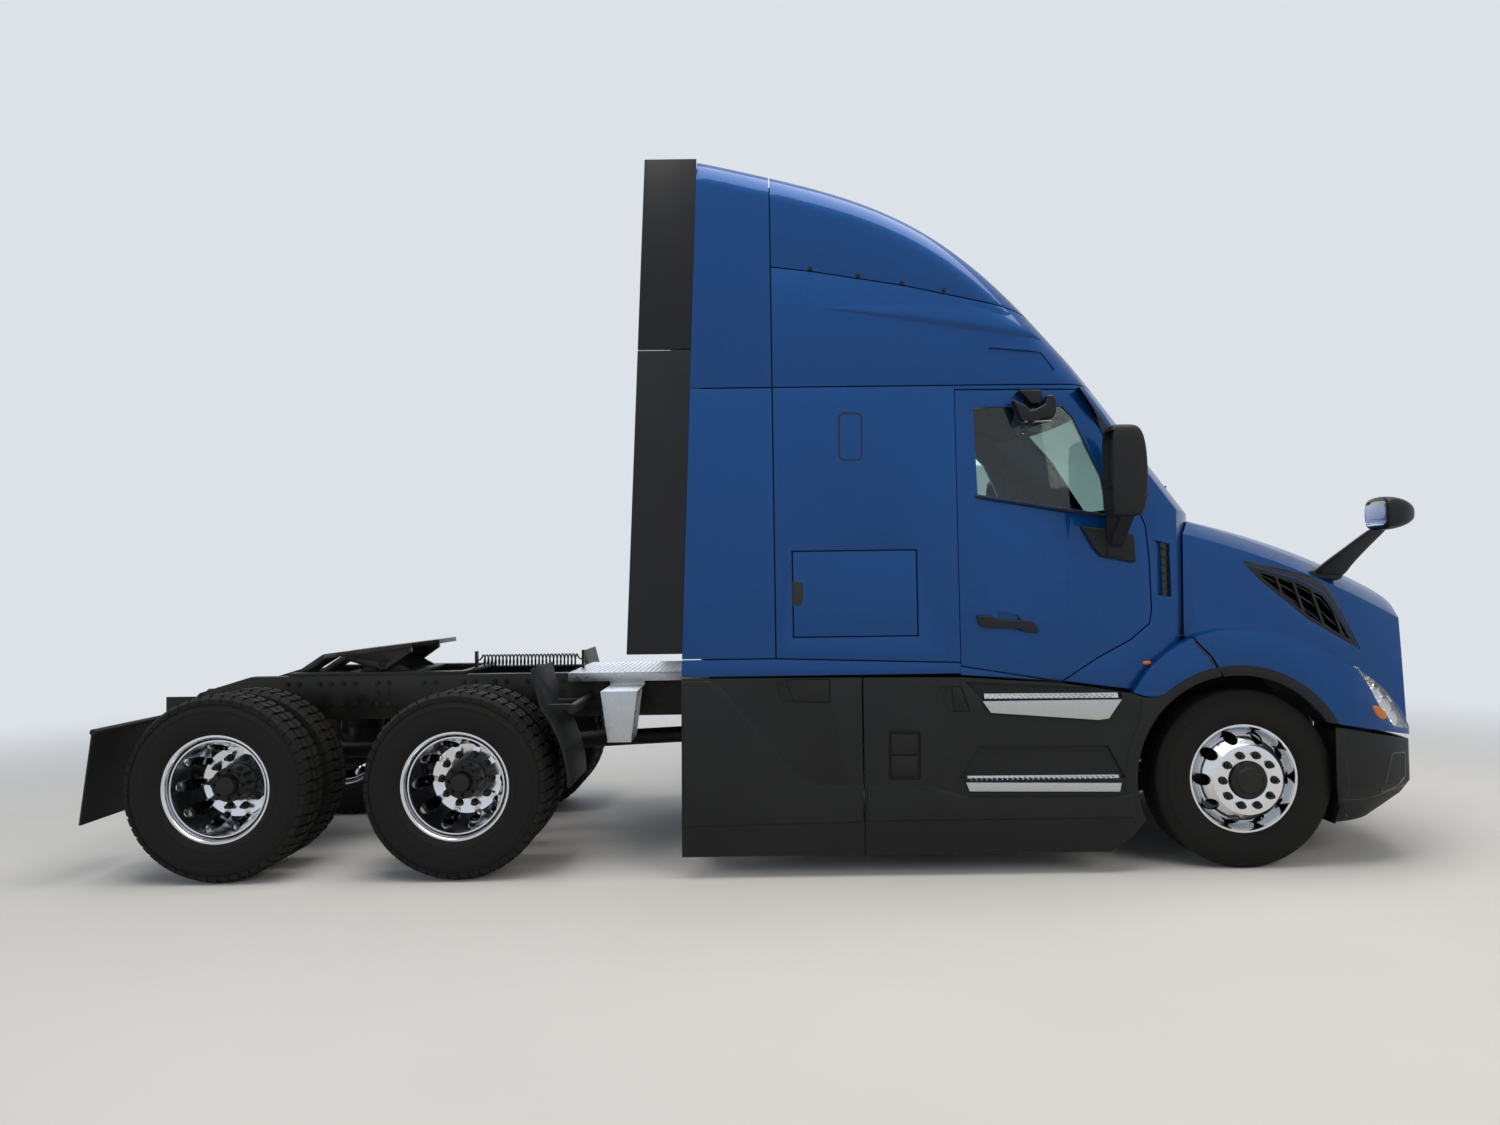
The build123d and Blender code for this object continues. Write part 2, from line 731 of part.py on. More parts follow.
def tyre(radius, station, y, sign):
    height = radius - rim_seat_radius - seat_gap
    scale = height / 219.0
    half = bead + [(rim_seat_radius + seat_gap + r * scale, w) for r, w in tyre_profile]
    profile = half + [(r, -w) for r, w in reversed(half)]
    return spun(profile, station, y, radius, sign)


rim_barrel = [
    (300, 118), (300, 109), (285.8, 104), (285.8, 62), (262, 40), (262, -40), (285.8, -62), (285.8, -104),
    (300, -109), (300, -118), (288, -118), (273, -100), (252, -60), (250, 40), (272, 66), (280, 112),
    (290, 118),
]
hub_radius = 104.0
bore_radius = hub_radius + seat_gap
disc_thickness = 22.0
disc_face = dual_spacing / 2 - seat_gap / 2
front_disc = [(262, 30), (254, 66), (238, 92), (212, 128), (186, 150), (bore_radius, 150),
              (bore_radius, 150 + disc_thickness), (190, 150 + disc_thickness), (196, 165), (224, 144),
              (252, 110),
              (272, 70), (268, 30)]
rear_disc = [(262, 118), (250, 60), (228, 10), (205, -100), (196, disc_thickness - disc_face),
             (bore_radius, disc_thickness - disc_face), (bore_radius, -disc_face), (200, -disc_face),
             (214, -165), (232, -90), (246, 0), (262, 40), (274, 66)]
hand_hole_radius = 33.5
wheel_holes = 10


def rim(disc, station, y, z, sign, hole_circle):
    with BuildPart() as wheel:
        add(spun(disc, station, y, z, sign))
        with BuildSketch(Plane(origin=(front_axle_x + station, y - 400, z), x_dir=(1, 0, 0),
                               z_dir=(0, 1, 0))):
            with PolarLocations(hole_circle, wheel_holes):
                Circle(hand_hole_radius)
        extrude(amount=800, mode=Mode.SUBTRACT)
        add(spun(rim_barrel, station, y, z, sign))
    return wheel.part


def drum(lengths, station, z, sign, holes):
    # Turned steps along the axle, each inner y, outer y and radius,
    # with blind holes from the inside, each radius and depth
    with BuildPart() as hub:
        for low, high, radius in lengths:
            with BuildSketch(Plane(origin=(front_axle_x + station, sign * low, z), x_dir=(1, 0, 0),
                                   z_dir=(0, sign, 0))):
                Circle(radius)
            extrude(amount=high - low)
        with BuildSketch(Plane(origin=(front_axle_x + station, sign * lengths[0][0], z), x_dir=(1, 0, 0),
                               z_dir=(0, sign, 0))):
            Circle(holes[0][0])
        extrude(amount=holes[0][1], mode=Mode.SUBTRACT)
        with BuildSketch(Plane(origin=(front_axle_x + station, sign * lengths[0][0], z), x_dir=(1, 0, 0),
                               z_dir=(0, sign, 0))):
            Circle(holes[1][0])
        extrude(amount=holes[1][1], mode=Mode.SUBTRACT)
    return hub.part


spindle_radius = 42.0
spindle_bore = spindle_radius + seat_gap
outer_y = dual_centre_y + dual_spacing / 2
inner_y = dual_centre_y - dual_spacing / 2
drum_radius = 205.0
drum_bore = 190.0
flange_radius = 165.0
front_flange_y = front_tyre_y + 150 - seat_gap
front_hub_steps = [(945, 1080, drum_radius), (1080, 1170, 110), (1170, front_flange_y, flange_radius),
                   (front_flange_y, 1232, hub_radius), (1232, 1246, 72)]
rear_flange_y = inner_y + disc_face - disc_thickness - seat_gap
rear_hub_steps = [(640, 800, drum_radius), (800, 870, 110), (870, rear_flange_y, flange_radius),
                  (rear_flange_y, 1040, hub_radius), (1040, 1062, 98), (1062, 1110, 62)]

# One set of each, on the left at the front axle's station
with BuildPart() as front_wheel_set:
    add(rim(front_disc, 0, front_tyre_y, front_tyre_radius, 1, 238))
    add(drum(front_hub_steps, 0, front_tyre_radius, 1, [(drum_bore, 115), (spindle_bore, 210)]))
with BuildPart() as dual_wheel_set:
    add(rim(rear_disc, 0, outer_y, rear_tyre_radius, 1, 222))
    add(rim(rear_disc, 0, inner_y, rear_tyre_radius, -1, 222))
    add(drum(rear_hub_steps, 0, rear_tyre_radius, 1, [(drum_bore, 140), (spindle_bore, 240)]))
with BuildPart() as dual_tyre_set:
    add(tyre(rear_tyre_radius, 0, inner_y, 1))
    add(tyre(rear_tyre_radius, 0, outer_y, 1))


def placed(shape, station, sign):
    # A left-hand set carried along to its axle, and mirrored for the right
    with BuildPart() as copy_build:
        with Locations((station, 0, 0)):
            add(shape)
        if sign < 0:
            mirror(about=Plane.XZ, mode=Mode.REPLACE)
    return copy_build


front_tyre = tyre(front_tyre_radius, 0, front_tyre_y, 1)
for name, sign in sides:
    finish(placed(front_tyre, 0, sign), "front_tyre_" + name)
    finish(placed(front_wheel_set.part, 0, sign), "front_wheel_" + name)
    for axle_name, station in (("drive", drive_axle), ("rear", rear_axle)):
        finish(placed(dual_tyre_set.part, station, sign), axle_name + "_tyres_" + name)
        finish(placed(dual_wheel_set.part, station, sign), axle_name + "_wheels_" + name)

# Front axle beam, with bosses for the kingpins and pads under the springs
boss_radius = 52.0
boss_half_height = 70.0
beam_z = front_tyre_radius - 60
beam_half = 45.0
with BuildPart() as front_axle:
    with Locations(at(0, 0, beam_z)):
        Box(90, 2 * (kingpin_y - 100), 2 * beam_half)
    for sign in (-1, 1):
        with Locations(at(0, sign * (kingpin_y - 70), front_tyre_radius - 20)):
            Box(80, 140, 100)
        with Locations(at(0, sign * kingpin_y, front_tyre_radius)):
            Cylinder(boss_radius, 2 * boss_half_height)
            Cylinder(20, 2 * (boss_half_height + 36))

# Steering knuckles: a yoke over the kingpin boss, a spindle and a tie rod arm
arm_station = -170.0
arm_y = kingpin_y
arm_z = 400.0
yoke_gap = 5.0
yoke_reach = boss_half_height + yoke_gap + 16
for name, sign in sides:
    with BuildPart() as knuckle:
        for level in (-yoke_reach, yoke_reach):
            with Locations(at(0, sign * kingpin_y, front_tyre_radius + level)):
                Cylinder(48, 32)
                Cylinder(20 + pin_clearance, 32, mode=Mode.SUBTRACT)
        with Locations(at(0, sign * (kingpin_y + 40 + boss_radius / 2), front_tyre_radius)):
            Box(90, 30, 2 * (boss_half_height + yoke_gap + 32))
        for level in (-yoke_reach, yoke_reach):
            with Locations(at(0, sign * (kingpin_y + 48), front_tyre_radius + level)):
                Box(90, 40, 32)
        with Locations(at(0, sign * kingpin_y, front_tyre_radius)):
            Cylinder(boss_radius + 4, 2 * boss_half_height + 2 * yoke_gap, mode=Mode.SUBTRACT)
            Cylinder(20 + pin_clearance, 400, mode=Mode.SUBTRACT)
        with BuildSketch(Plane(origin=(front_axle_x, sign * (kingpin_y + 80), front_tyre_radius),
                               x_dir=(1, 0, 0),
                               z_dir=(0, sign, 0))):
            Circle(spindle_radius)
        extrude(amount=1140 - kingpin_y - 80)
        with BuildSketch(plan(arm_z)):
            with BuildLine():
                Polyline((-30, sign * (kingpin_y + 30)), (-30, sign * (kingpin_y - 20)),
                         (arm_station - 24, sign * (arm_y - 24)), (arm_station - 24, sign * (arm_y + 24)),
                         close=True)
            make_face()
            with Locations((arm_station, sign * arm_y)):
                Circle(15 + pin_clearance * 6, mode=Mode.SUBTRACT)
        extrude(amount=25)
    finish(knuckle, "knuckle_" + name)

with BuildPart() as tie_rod:
    with BuildSketch(Plane(origin=(front_axle_x + arm_station, 0, arm_z - 30), x_dir=(1, 0, 0),
                           z_dir=(0, 1, 0))):
        Circle(22)
    extrude(amount=arm_y - 22, both=True)
    for sign in (-1, 1):
        with Locations(at(arm_station, sign * arm_y, arm_z - 28)):
            Cylinder(30, 50)
        with Locations(at(arm_station, sign * arm_y, arm_z + 10)):
            Cylinder(15, 50)
finish(tie_rod, "tie_rod")

# Drive axles: tubes with a round final-drive housing, spindles in the hubs
axle_tube_radius = 62.0
housing_radius = 205.0
with BuildPart() as drive_axles:
    for station in (drive_axle, rear_axle):
        for radius, reach in ((axle_tube_radius, 630), (spindle_radius, 860)):
            with BuildSketch(side()):
                with Locations((station, rear_tyre_radius)):
                    Circle(radius)
            extrude(amount=reach, both=True)
        with Locations(at(station, 0, rear_tyre_radius)):
            Sphere(housing_radius)

with BuildPart() as axles:
    add(front_axle.part)
    add(drive_axles.part)
finish(axles, "axles")

# Suspension: leaf springs in front, air springs and arms at the rear
spring_y = rail_outer_y - 45
spring_eye = 26.0
rail_seat = rail_top - rail_height - seat_gap
eye_z = rail_seat - spring_eye
air_spring_y = rail_outer_y - 40
air_spring_foot = 480.0
with BuildPart() as suspension:
    for sign in (-1, 1):
        with BuildSketch(side(sign * spring_y)):
            with BuildLine():
                ThreePointArc((-640, eye_z - 24), (0, 520), (640, eye_z - 24))
                Line((640, eye_z - 24), (640, eye_z + 14))
                ThreePointArc((640, eye_z + 14), (0, 570), (-640, eye_z + 14))
                Line((-640, eye_z + 14), (-640, eye_z - 24))
            make_face()
            with Locations((-640, eye_z), (640, eye_z)):
                Circle(spring_eye)
        extrude(amount=38, both=True)
        with Locations(at(0, sign * spring_y, beam_z + beam_half + seat_gap + 25)):
            Box(130, 90, 50)
        for station in (drive_axle, rear_axle):
            with Locations(at(station + 260, sign * air_spring_y, (air_spring_foot + rail_seat) / 2)):
                Cylinder(120, rail_seat - air_spring_foot)
            with BuildSketch(side(sign * air_spring_y)):
                with BuildLine():
                    Polyline((station - 330, rail_seat), (station - 270, rail_seat), (station + 60, 640),
                             (station + 380, 500), (station + 380, 420), (station - 80, 400), close=True)
                make_face()
            extrude(amount=35, both=True)
    for station in (drive_axle, rear_axle):
        with BuildSketch(side()):
            with Locations((station, rear_tyre_radius)):
                Circle(axle_tube_radius + seat_gap)
        extrude(amount=800, both=True, mode=Mode.SUBTRACT)
finish(suspension, "suspension")

# Powertrain: engine and gearbox as plain blocks, the radiator, and the drive shafts
with BuildPart() as powertrain:
    with Locations(at(435, 0, 1110)):
        Box(720, 640, 640)
    with Locations(at(-420, 0, 800)):
        Box(1000, 460, 330)
    with Locations(at(980, 0, 1080)):
        Box(70, 2 * (405 - seat_gap), 700)
    shafts = [((-920, 0, 730), (drive_axle + 150, 0, 590)),
              ((drive_axle - 150, 0, 560), (rear_axle + 150, 0, 560))]
    for start, end in shafts:
        with BuildLine() as shaft_line:
            Line(at(*start), at(*end))
        with BuildSketch(Plane(origin=shaft_line.line @ 0, z_dir=shaft_line.line % 0)):
            Circle(52)
        sweep(path=shaft_line.line)
    with Locations(at(drive_axle, 0, rear_tyre_radius), at(rear_axle, 0, rear_tyre_radius)):
        Sphere(housing_radius + seat_gap, mode=Mode.SUBTRACT)
finish(powertrain, "powertrain")

# Fuel tanks and battery boxes, hung under the arms that carry the skirts
tank_top = skirt_arm_z - 25 - seat_gap
tank_radius = 290.0
tank_y = 790.0
box_size = 520.0
with BuildPart() as fuel_tanks:
    for sign in (-1, 1):
        with BuildSketch(cross(-3060)):
            with Locations((sign * tank_y, tank_top - tank_radius)):
                Circle(tank_radius)
        extrude(amount=1230)
        with BuildSketch(cross(-1560)):
            with Locations((sign * tank_y, tank_top - box_size / 2)):
                RectangleRounded(box_size, box_size, 60)
        extrude(amount=700)
finish(fuel_tanks, "fuel_tanks")

# Deck plate over the rails, with a hung step bracket on each side
deck_thickness = 6.0
deck_top = rail_top + seat_gap + deck_thickness
with BuildPart() as deck:
    with Locations(at(-3430, 0, rail_top + seat_gap + deck_thickness / 2)):
        Box(870, 1040, deck_thickness)
    for sign in (-1, 1):
        with Locations(at(-3430, sign * 517, rail_top - 20)):
            Box(870, deck_thickness, 54)
        with Locations(at(-3500, sign * 720, 1005)):
            Box(212, 470, deck_thickness)
        with Locations(at(-3500, sign * 500, 1030)):
            Box(212, 34, 56)
        with BuildSketch(side(sign * 955)):
            with BuildLine():
                Polyline((-3606, 1008), (-3394, 1008), (-3433, 716), (-3566, 716), close=True)
            make_face()
        extrude(amount=3, both=True)
        for level in (720, 860):
            with Locations(at(-3500, sign * 800, level)):
                Box(140, 310, deck_thickness)
        with BuildSketch(side(sign * 645)):
            with BuildLine():
                Polyline((-3606, 1008), (-3394, 1008), (-3433, 716), (-3566, 716), close=True)
            make_face()
        extrude(amount=3, both=True)

with BuildPart() as deck_and_steps:
    add(deck.part)
    add(steps.part)
finish(deck_and_steps, "deck_and_steps")

# Quarter fenders before the drive wheels, and the rear mud flaps on their hangers
guard_inner_y = 620.0
guard_outer_y = 1215.0
guard_mid_y = (guard_inner_y + guard_outer_y) / 2
guard_half = (guard_outer_y - guard_inner_y) / 2
with BuildPart() as rear_fenders:
    for sign in (-1, 1):
        with BuildSketch(side(sign * guard_mid_y)):
            with BuildLine():
                ThreePointArc((-3742, 505), (-3783, 745), (-3890, 950))
                Polyline((-3890, 950), (-3945, 1165), (-3957, 1162), (-3905, 940))
                ThreePointArc((-3905, 940), (-3797, 740), (-3757, 505))
                Line((-3757, 505), (-3742, 505))
            make_face()
        extrude(amount=guard_half, both=True)
        with BuildSketch(side(sign * (rail_outer_y + seat_gap))):
            with Locations((-3740, 930)):
                Circle(27)
        extrude(amount=-sign * (1150 - rail_outer_y))
        with Locations(at(-3810, sign * 760, 930), at(-3810, sign * 1060, 930)):
            Box(160, 30, 40)
        with BuildSketch(side(sign * guard_mid_y)):
            with BuildLine():
                Polyline((-6369, 850), (-6381, 850), (-flap_reach, 335), (-flap_reach + 12, 335), close=True)
            make_face()
        extrude(amount=guard_half, both=True)
        with BuildSketch(side(sign * (rail_outer_y + seat_gap))):
            with Locations((-6375, 845)):
                Circle(17)
        extrude(amount=-sign * (guard_outer_y - rail_outer_y))
        with Locations(at(-6250, sign * (rail_outer_y + seat_gap + 10), 900)):
            Box(270, 20, 130)
finish(rear_fenders, "rear_fenders")

# Tail lamps: round lenses on the last cross member
with BuildPart() as tail_lamps:
    with BuildSketch(cross(-6180 - seat_gap)):
        with Locations((-280, 945), (-165, 945), (165, 945), (280, 945)):
            Circle(50)
    extrude(amount=-24)
finish(tail_lamps, "tail_lamps")

# Fifth wheel: a base on the rails, and the tilting plate with its throat and ramps
fifth_station = -5080.0
strip_thickness = 20.0
strip_top = rail_top + seat_gap + strip_thickness
fifth_pin_z = 1140.0
fifth_pin_radius = 22.0
fifth_rest_tilt = 6.5
fifth_top = 115.0
ear_y = 262.0
kingpin_throat_radius = 26.0
with BuildPart() as fifth_wheel_base:
    for sign in (-1, 1):
        with Locations(at(fifth_station, sign * 385, rail_top + seat_gap + strip_thickness / 2)):
            Box(1100, 94, strip_thickness)
        with BuildSketch(side(sign * ear_y)):
            with BuildLine():
                Polyline((fifth_station - 190, rail_top), (fifth_station + 190, rail_top),
                         (fifth_station + 150, 1110), (fifth_station + 40, 1170), (fifth_station - 40, 1170),
                         (fifth_station - 150, 1110), close=True)
            make_face()
        extrude(amount=18, both=True)
        with BuildSketch(side(sign * (ear_y - 18))):
            with Locations((fifth_station, fifth_pin_z)):
                Circle(fifth_pin_radius)
        extrude(amount=-sign * 75)
    with Locations(at(fifth_station, 0, rail_top + seat_gap + strip_thickness / 2)):
        Box(420, 760, strip_thickness)
    with Locations(at(fifth_station + 530, 0, rail_top + seat_gap + strip_thickness / 2)):
        Box(40, 760, strip_thickness)
finish(fifth_wheel_base, "fifth_wheel_base")

plate_frame = Plane(origin=(front_axle_x + fifth_station, 0, fifth_pin_z), x_dir=(1, 0, 0),
                    z_dir=(0, 0, 1)).rotated(
    (0, -fifth_rest_tilt, 0))
plate_side = Plane(origin=plate_frame.origin, x_dir=plate_frame.x_dir, z_dir=-plate_frame.y_dir)
with BuildPart(plate_frame) as fifth_wheel_plate:
    with BuildSketch(plate_frame.offset(fifth_top - 28)):
        with BuildLine():
            Polyline((340, 0), (340, 200), (220, 385), (0, 455), (-240, 445), (-355, 350), (-355, 110),
                     (0, kingpin_throat_radius), (0, 0), close=True)
        make_face()
        mirror(about=Plane.XZ)
        Circle(kingpin_throat_radius, mode=Mode.SUBTRACT)
    extrude(amount=28)
    for sign in (-1, 1):
        with BuildSketch(plate_side.offset(sign * 307)):
            with BuildLine():
                Polyline((-230, 95), (-230, 60), (-32, -28), (32, -28), (190, 60), (190, 95), close=True)
            make_face()
            Circle(fifth_pin_radius + pin_clearance, mode=Mode.SUBTRACT)
        extrude(amount=18, both=True)
        with BuildSketch(plate_side.offset(sign * 228)):
            with BuildLine():
                Polyline((-330, 115), (-330, 87), (-575, -25), (-582, 5), (-370, 113), close=True)
            make_face()
        extrude(amount=98, both=True)
finish(fifth_wheel_plate, "fifth_wheel_plate")

# Coiled air and power lines, held between the fifth wheel's front strip and the deck
coil_radius = 42.0
coil_y = -60.0
coil_z = 1145.0
coil_front = -3850.0
coil_rear = -4540.0
with BuildPart() as coil_hose:
    with BuildSketch(cross(coil_rear + seat_gap)):
        with Locations((coil_y, coil_z)):
            Circle(coil_radius)
    extrude(amount=coil_front - coil_rear - 2 * seat_gap)
finish(coil_hose, "coil_hose")
with BuildPart() as hose_clips:
    for station, seat in ((coil_front + 7, deck_top), (coil_rear - 7, strip_top)):
        with Locations(at(station, coil_y, (seat + seat_gap + coil_z + 60) / 2)):
            Box(14, 50, coil_z + 60 - seat - seat_gap)

with BuildPart() as frame:
    add(frame_rails.part)
    add(cross_members.part)
    add(hose_clips.part)
finish(frame, "frame")

# Cabin: floor with the bunk's base, dashboard, seats, steering wheel and bunk
with BuildPart() as back_wall:
    add(rib_inner)
    with BuildSketch(cross(back_wall_station)):
        with Locations((0, (cab_floor_top + 4300) / 2)):
            Rectangle(2600, 4300 - cab_floor_top)
    extrude(amount=40, mode=Mode.INTERSECT)
with BuildPart() as cabin_floor:
    add(rib_inner)
    with Locations(at(-1500, 0, cab_floor_top - floor_thickness / 2)):
        Box(2 * (-back_wall_station + 40 - 1500) - 160, 3000, floor_thickness, mode=Mode.INTERSECT)
    with Locations(at(-1800, 0, (cab_floor_top + 1740) / 2)):
        Box(20, 2200, 1740 - cab_floor_top)
    with Locations(at((-1790 - 2915) / 2, 0, 1730)):
        Box(2915 - 1790, 2200, 20)

# Steering wheel's frame: its centre in front of the left seat, its axis leaning to the driver
seat_y = 520.0
wheel_centre = (-770.0, seat_y, 1960.0)
column_reach = 160.0
wheel_frame = Plane(origin=at(*wheel_centre), x_dir=(0, 1, 0), z_dir=(-0.64, 0, 0.768))

with BuildPart() as dashboard:
    add(rib_inner)
    add(prism([(-600, 1620), (-560, 1930), (-300, 2010), (200, 2010), (200, 1500), (-420, 1500)]),
        mode=Mode.INTERSECT)
    with BuildSketch(wheel_frame.offset(-column_reach - seat_gap)):
        Circle(42)
    extrude(amount=-170)

with BuildPart() as cabin_lining:
    add(back_wall.part)
    add(cabin_floor.part)
    add(dashboard.part)
finish(cabin_lining, "cabin_lining")

with BuildPart() as seats:
    for sign in (-1, 1):
        with BuildSketch(side(sign * seat_y)):
            with BuildLine():
                Polyline((-1480, 1500), (-960, 1520), (-930, 1600), (-960, 1640), (-1370, 1610),
                         (-1450, 2090),
                         (-1400, 2330), (-1480, 2350), (-1560, 2100), (-1510, 1600), close=True)
            make_face()
            fillet(vertices(), 22)
        extrude(amount=250, both=True)
        with Locations(at(-1220, sign * seat_y, (cab_floor_top + 1510) / 2)):
            Box(300, 300, 1510 - cab_floor_top - 2 * seat_gap)

with BuildPart() as bunk:
    with Locations(at(-2360, 0, 1740 + seat_gap + 60)):
        Box(1100, 1900, 120)
    fillet(bunk.edges().filter_by(Axis.Z), 60)

with BuildPart() as seats_and_bunk:
    add(seats.part)
    add(bunk.part)
finish(seats_and_bunk, "seats_and_bunk")

# Steering wheel, with the shaft that turns in the dashboard's column
with BuildPart(wheel_frame) as steering_wheel:
    Torus(220, 15)
    Cylinder(60, 34)
    for angle in (0, 180, 270):
        with Locations(Location((0, 0, 0), (0, 0, angle))):
            with Locations((130, 0, 0)):
                Box(170, 36, 12)
    with Locations((0, 0, -column_reach / 2)):
        Cylinder(22, column_reach)
finish(steering_wheel, "steering_wheel")

# Door fittings: mirror on its arm, belt strip and slanting handle; a look-down mirror on the right
mirror_head = (-705.0, 1425.0, 1960.0)
mirror_height = 480.0
mirror_base = [(-899, 1927), (-724, 1900), (-580, 1868), (-572, 1693), (-782, 1732), (-829, 1787)]
belt_strip = [(-1470, 2096), (-1470, 2080), (-704, 1954), (-704, 1972)]
handle = [(-1487, 1445), (-1480, 1400), (-1140, 1300), (-1120, 1330), (-1280, 1400)]
look_down = [(-1280, 2460), (-1260, 2640), (-1030, 2660), (-1015, 2480)]
cab_clear = cab_form(-seat_gap)
for name, sign in sides:
    with BuildPart() as fittings:
        add(prism(mirror_base, half_width=1205))
        add(prism(belt_strip, half_width=1197))
        add(prism(handle, half_width=1222))
        if name == "right":
            add(prism(look_down, half_width=1290))
        with BuildSketch(cross(-745)):
            with BuildLine():
                Polyline((sign * 1150, 1740), (sign * 1150, 1890), (sign * 1375, 1985), (sign * 1440, 1985),
                         (sign * 1440, 1955), (sign * 1240, 1740), close=True)
            make_face()
        extrude(amount=85)
        with BuildSketch(Plane(origin=(front_axle_x + mirror_head[0], sign * mirror_head[1],
                                       mirror_head[2]))):
            RectangleRounded(230, 220, 70)
        extrude(amount=mirror_height)
        add(cab_clear, mode=Mode.SUBTRACT)
        with Locations(at(-1000, -sign * 1000, 2000)):
            Box(4000, 2000, 4000, mode=Mode.SUBTRACT)
    finish(fittings, "door_fittings_" + name)

# Hood mirrors: a head on an arm that rises from each shoulder
with BuildPart() as hood_mirrors:
    for sign in (-1, 1):
        with BuildLine() as arm_line:
            Line(at(600, sign * 860, 1600), at(810, sign * 1210, 1935))
        with BuildSketch(Plane(origin=arm_line.line @ 0, z_dir=arm_line.line % 0)):
            Ellipse(60, 28)
        sweep(path=arm_line.line)
        with BuildSketch(Plane(origin=(front_axle_x + 785, sign * 1240, 1895))):
            RectangleRounded(230, 220, 60)
        extrude(amount=135)
    add(upper_outer, mode=Mode.SUBTRACT)
finish(hood_mirrors, "hood_mirrors")
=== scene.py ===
# %% [markdown]
# A highway tractor stands on the ground with its right side to us. This lesson dresses its plain
# construction solids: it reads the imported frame, keeps the solids whose shape is already right, and
# gives the rest smoother and richer pieces that ride on the same bodies.
# Lengths are metres. X runs to the front of the truck, Y to its left and Z up.

# %% Load the frame and keep its box
import math

import bmesh
import bpy
from mathutils import Matrix, Vector


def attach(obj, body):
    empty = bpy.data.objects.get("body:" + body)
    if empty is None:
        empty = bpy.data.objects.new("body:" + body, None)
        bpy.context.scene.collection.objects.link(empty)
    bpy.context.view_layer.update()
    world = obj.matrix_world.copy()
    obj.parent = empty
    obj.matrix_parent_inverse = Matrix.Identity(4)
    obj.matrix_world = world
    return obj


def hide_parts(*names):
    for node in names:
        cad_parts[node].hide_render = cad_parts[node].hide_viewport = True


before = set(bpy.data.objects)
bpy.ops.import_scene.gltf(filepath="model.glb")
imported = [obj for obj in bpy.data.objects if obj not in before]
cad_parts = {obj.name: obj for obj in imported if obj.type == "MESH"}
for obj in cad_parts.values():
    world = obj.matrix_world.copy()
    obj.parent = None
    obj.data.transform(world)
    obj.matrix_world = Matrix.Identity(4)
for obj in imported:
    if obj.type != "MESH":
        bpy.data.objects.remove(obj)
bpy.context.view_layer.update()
SIDES = (("right", -1), ("left", 1))

# %% [markdown]
# Stations on a truck are measured along its length. Here they count from the front axle, as in the
# construction source, so each length below can be set beside the real one.

# %% Stations and wheel sizes
FRONT_AXLE = 2.6
DRIVE_AXLES = (("drive", -4.380), ("rear", -5.701))
FRONT_RADIUS = 0.496
REAR_RADIUS = 0.520
FRONT_TYRE_Y = 1.045
DUAL_Y = 0.9215
DUAL_SPACING = 0.343


def at(station, y, z):
    return Vector((FRONT_AXLE + station, y, z))


# %% [markdown]
# The camera stands seven metres off at eye height, almost square to the side. Its place, turn and lens
# were worked out from the wheel rims, the axle spacing and the upright seams of the body.

# %% Camera
CAMERA_PLACE = at(-2.7413, -7.1231, 1.5663)
YAW, PITCH, ROLL = 0.0014, 0.0285, -0.0135
SENSOR_WIDTH = 36.0
LENS_SHARE = 1065.2 / 1500


def camera_matrix():
    forward = Vector((math.sin(YAW), math.cos(YAW), 0))
    right = Vector((math.cos(YAW), -math.sin(YAW), 0))
    up = Vector((0, 0, 1))
    forward, up = (forward * math.cos(PITCH) + up * math.sin(PITCH),
                   up * math.cos(PITCH) - forward * math.sin(PITCH))
    right, up = (right * math.cos(ROLL) + up * math.sin(ROLL),
                 up * math.cos(ROLL) - right * math.sin(ROLL))
    turn = Matrix((right, up, -forward)).transposed()
    return Matrix.Translation(CAMERA_PLACE) @ turn.to_4x4()


camera_data = bpy.data.cameras.new("camera")
camera_data.sensor_width = SENSOR_WIDTH
camera_data.lens = LENS_SHARE * SENSOR_WIDTH
camera_data.clip_end = 200
camera = bpy.data.objects.new("camera", camera_data)
camera.matrix_world = camera_matrix()
bpy.context.scene.collection.objects.link(camera)
bpy.context.scene.camera = camera
bpy.context.scene.view_settings.view_transform = "Standard"
print("lens", round(camera_data.lens, 2), "mm")

# %% [markdown]
# A material is a small network of nodes. One helper adds a node with its settings and links, and one
# turns a colour as it is written for a screen into the linear numbers that the shader works in.

# %% Helpers for materials


def linear(code, alpha=1.0):
    channels = [int(code[i:i + 2], 16) / 255 for i in (1, 3, 5)]
    return tuple(c / 12.92 if c <= 0.04045 else ((c + 0.055) / 1.055) ** 2.4 for c in channels) + (alpha,)


def add_node(tree, kind, inputs=None, **settings):
    node = tree.nodes.new(kind)
    for key, value in settings.items():
        setattr(node, key, value)
    for socket, value in (inputs or {}).items():
        if isinstance(value, bpy.types.NodeSocket):
            tree.links.new(value, node.inputs[socket])
        else:
            node.inputs[socket].default_value = value
    return node


def new_material(name):
    material = bpy.data.materials.new(name)
    material.use_nodes = True
    material.node_tree.nodes.clear()
    return material, material.node_tree


def close_material(tree, surface):
    add_node(tree, "ShaderNodeOutputMaterial", {"Surface": surface})


def blotches(tree, scale, detail=3.0, distortion=0.0):
    # Soft random patches on the object's own coordinates; scale is patches in a metre
    place = add_node(tree, "ShaderNodeTexCoord")
    return add_node(tree, "ShaderNodeTexNoise", {"Vector": place.outputs["Object"], "Scale": scale,
                                                 "Detail": detail, "Distortion": distortion})


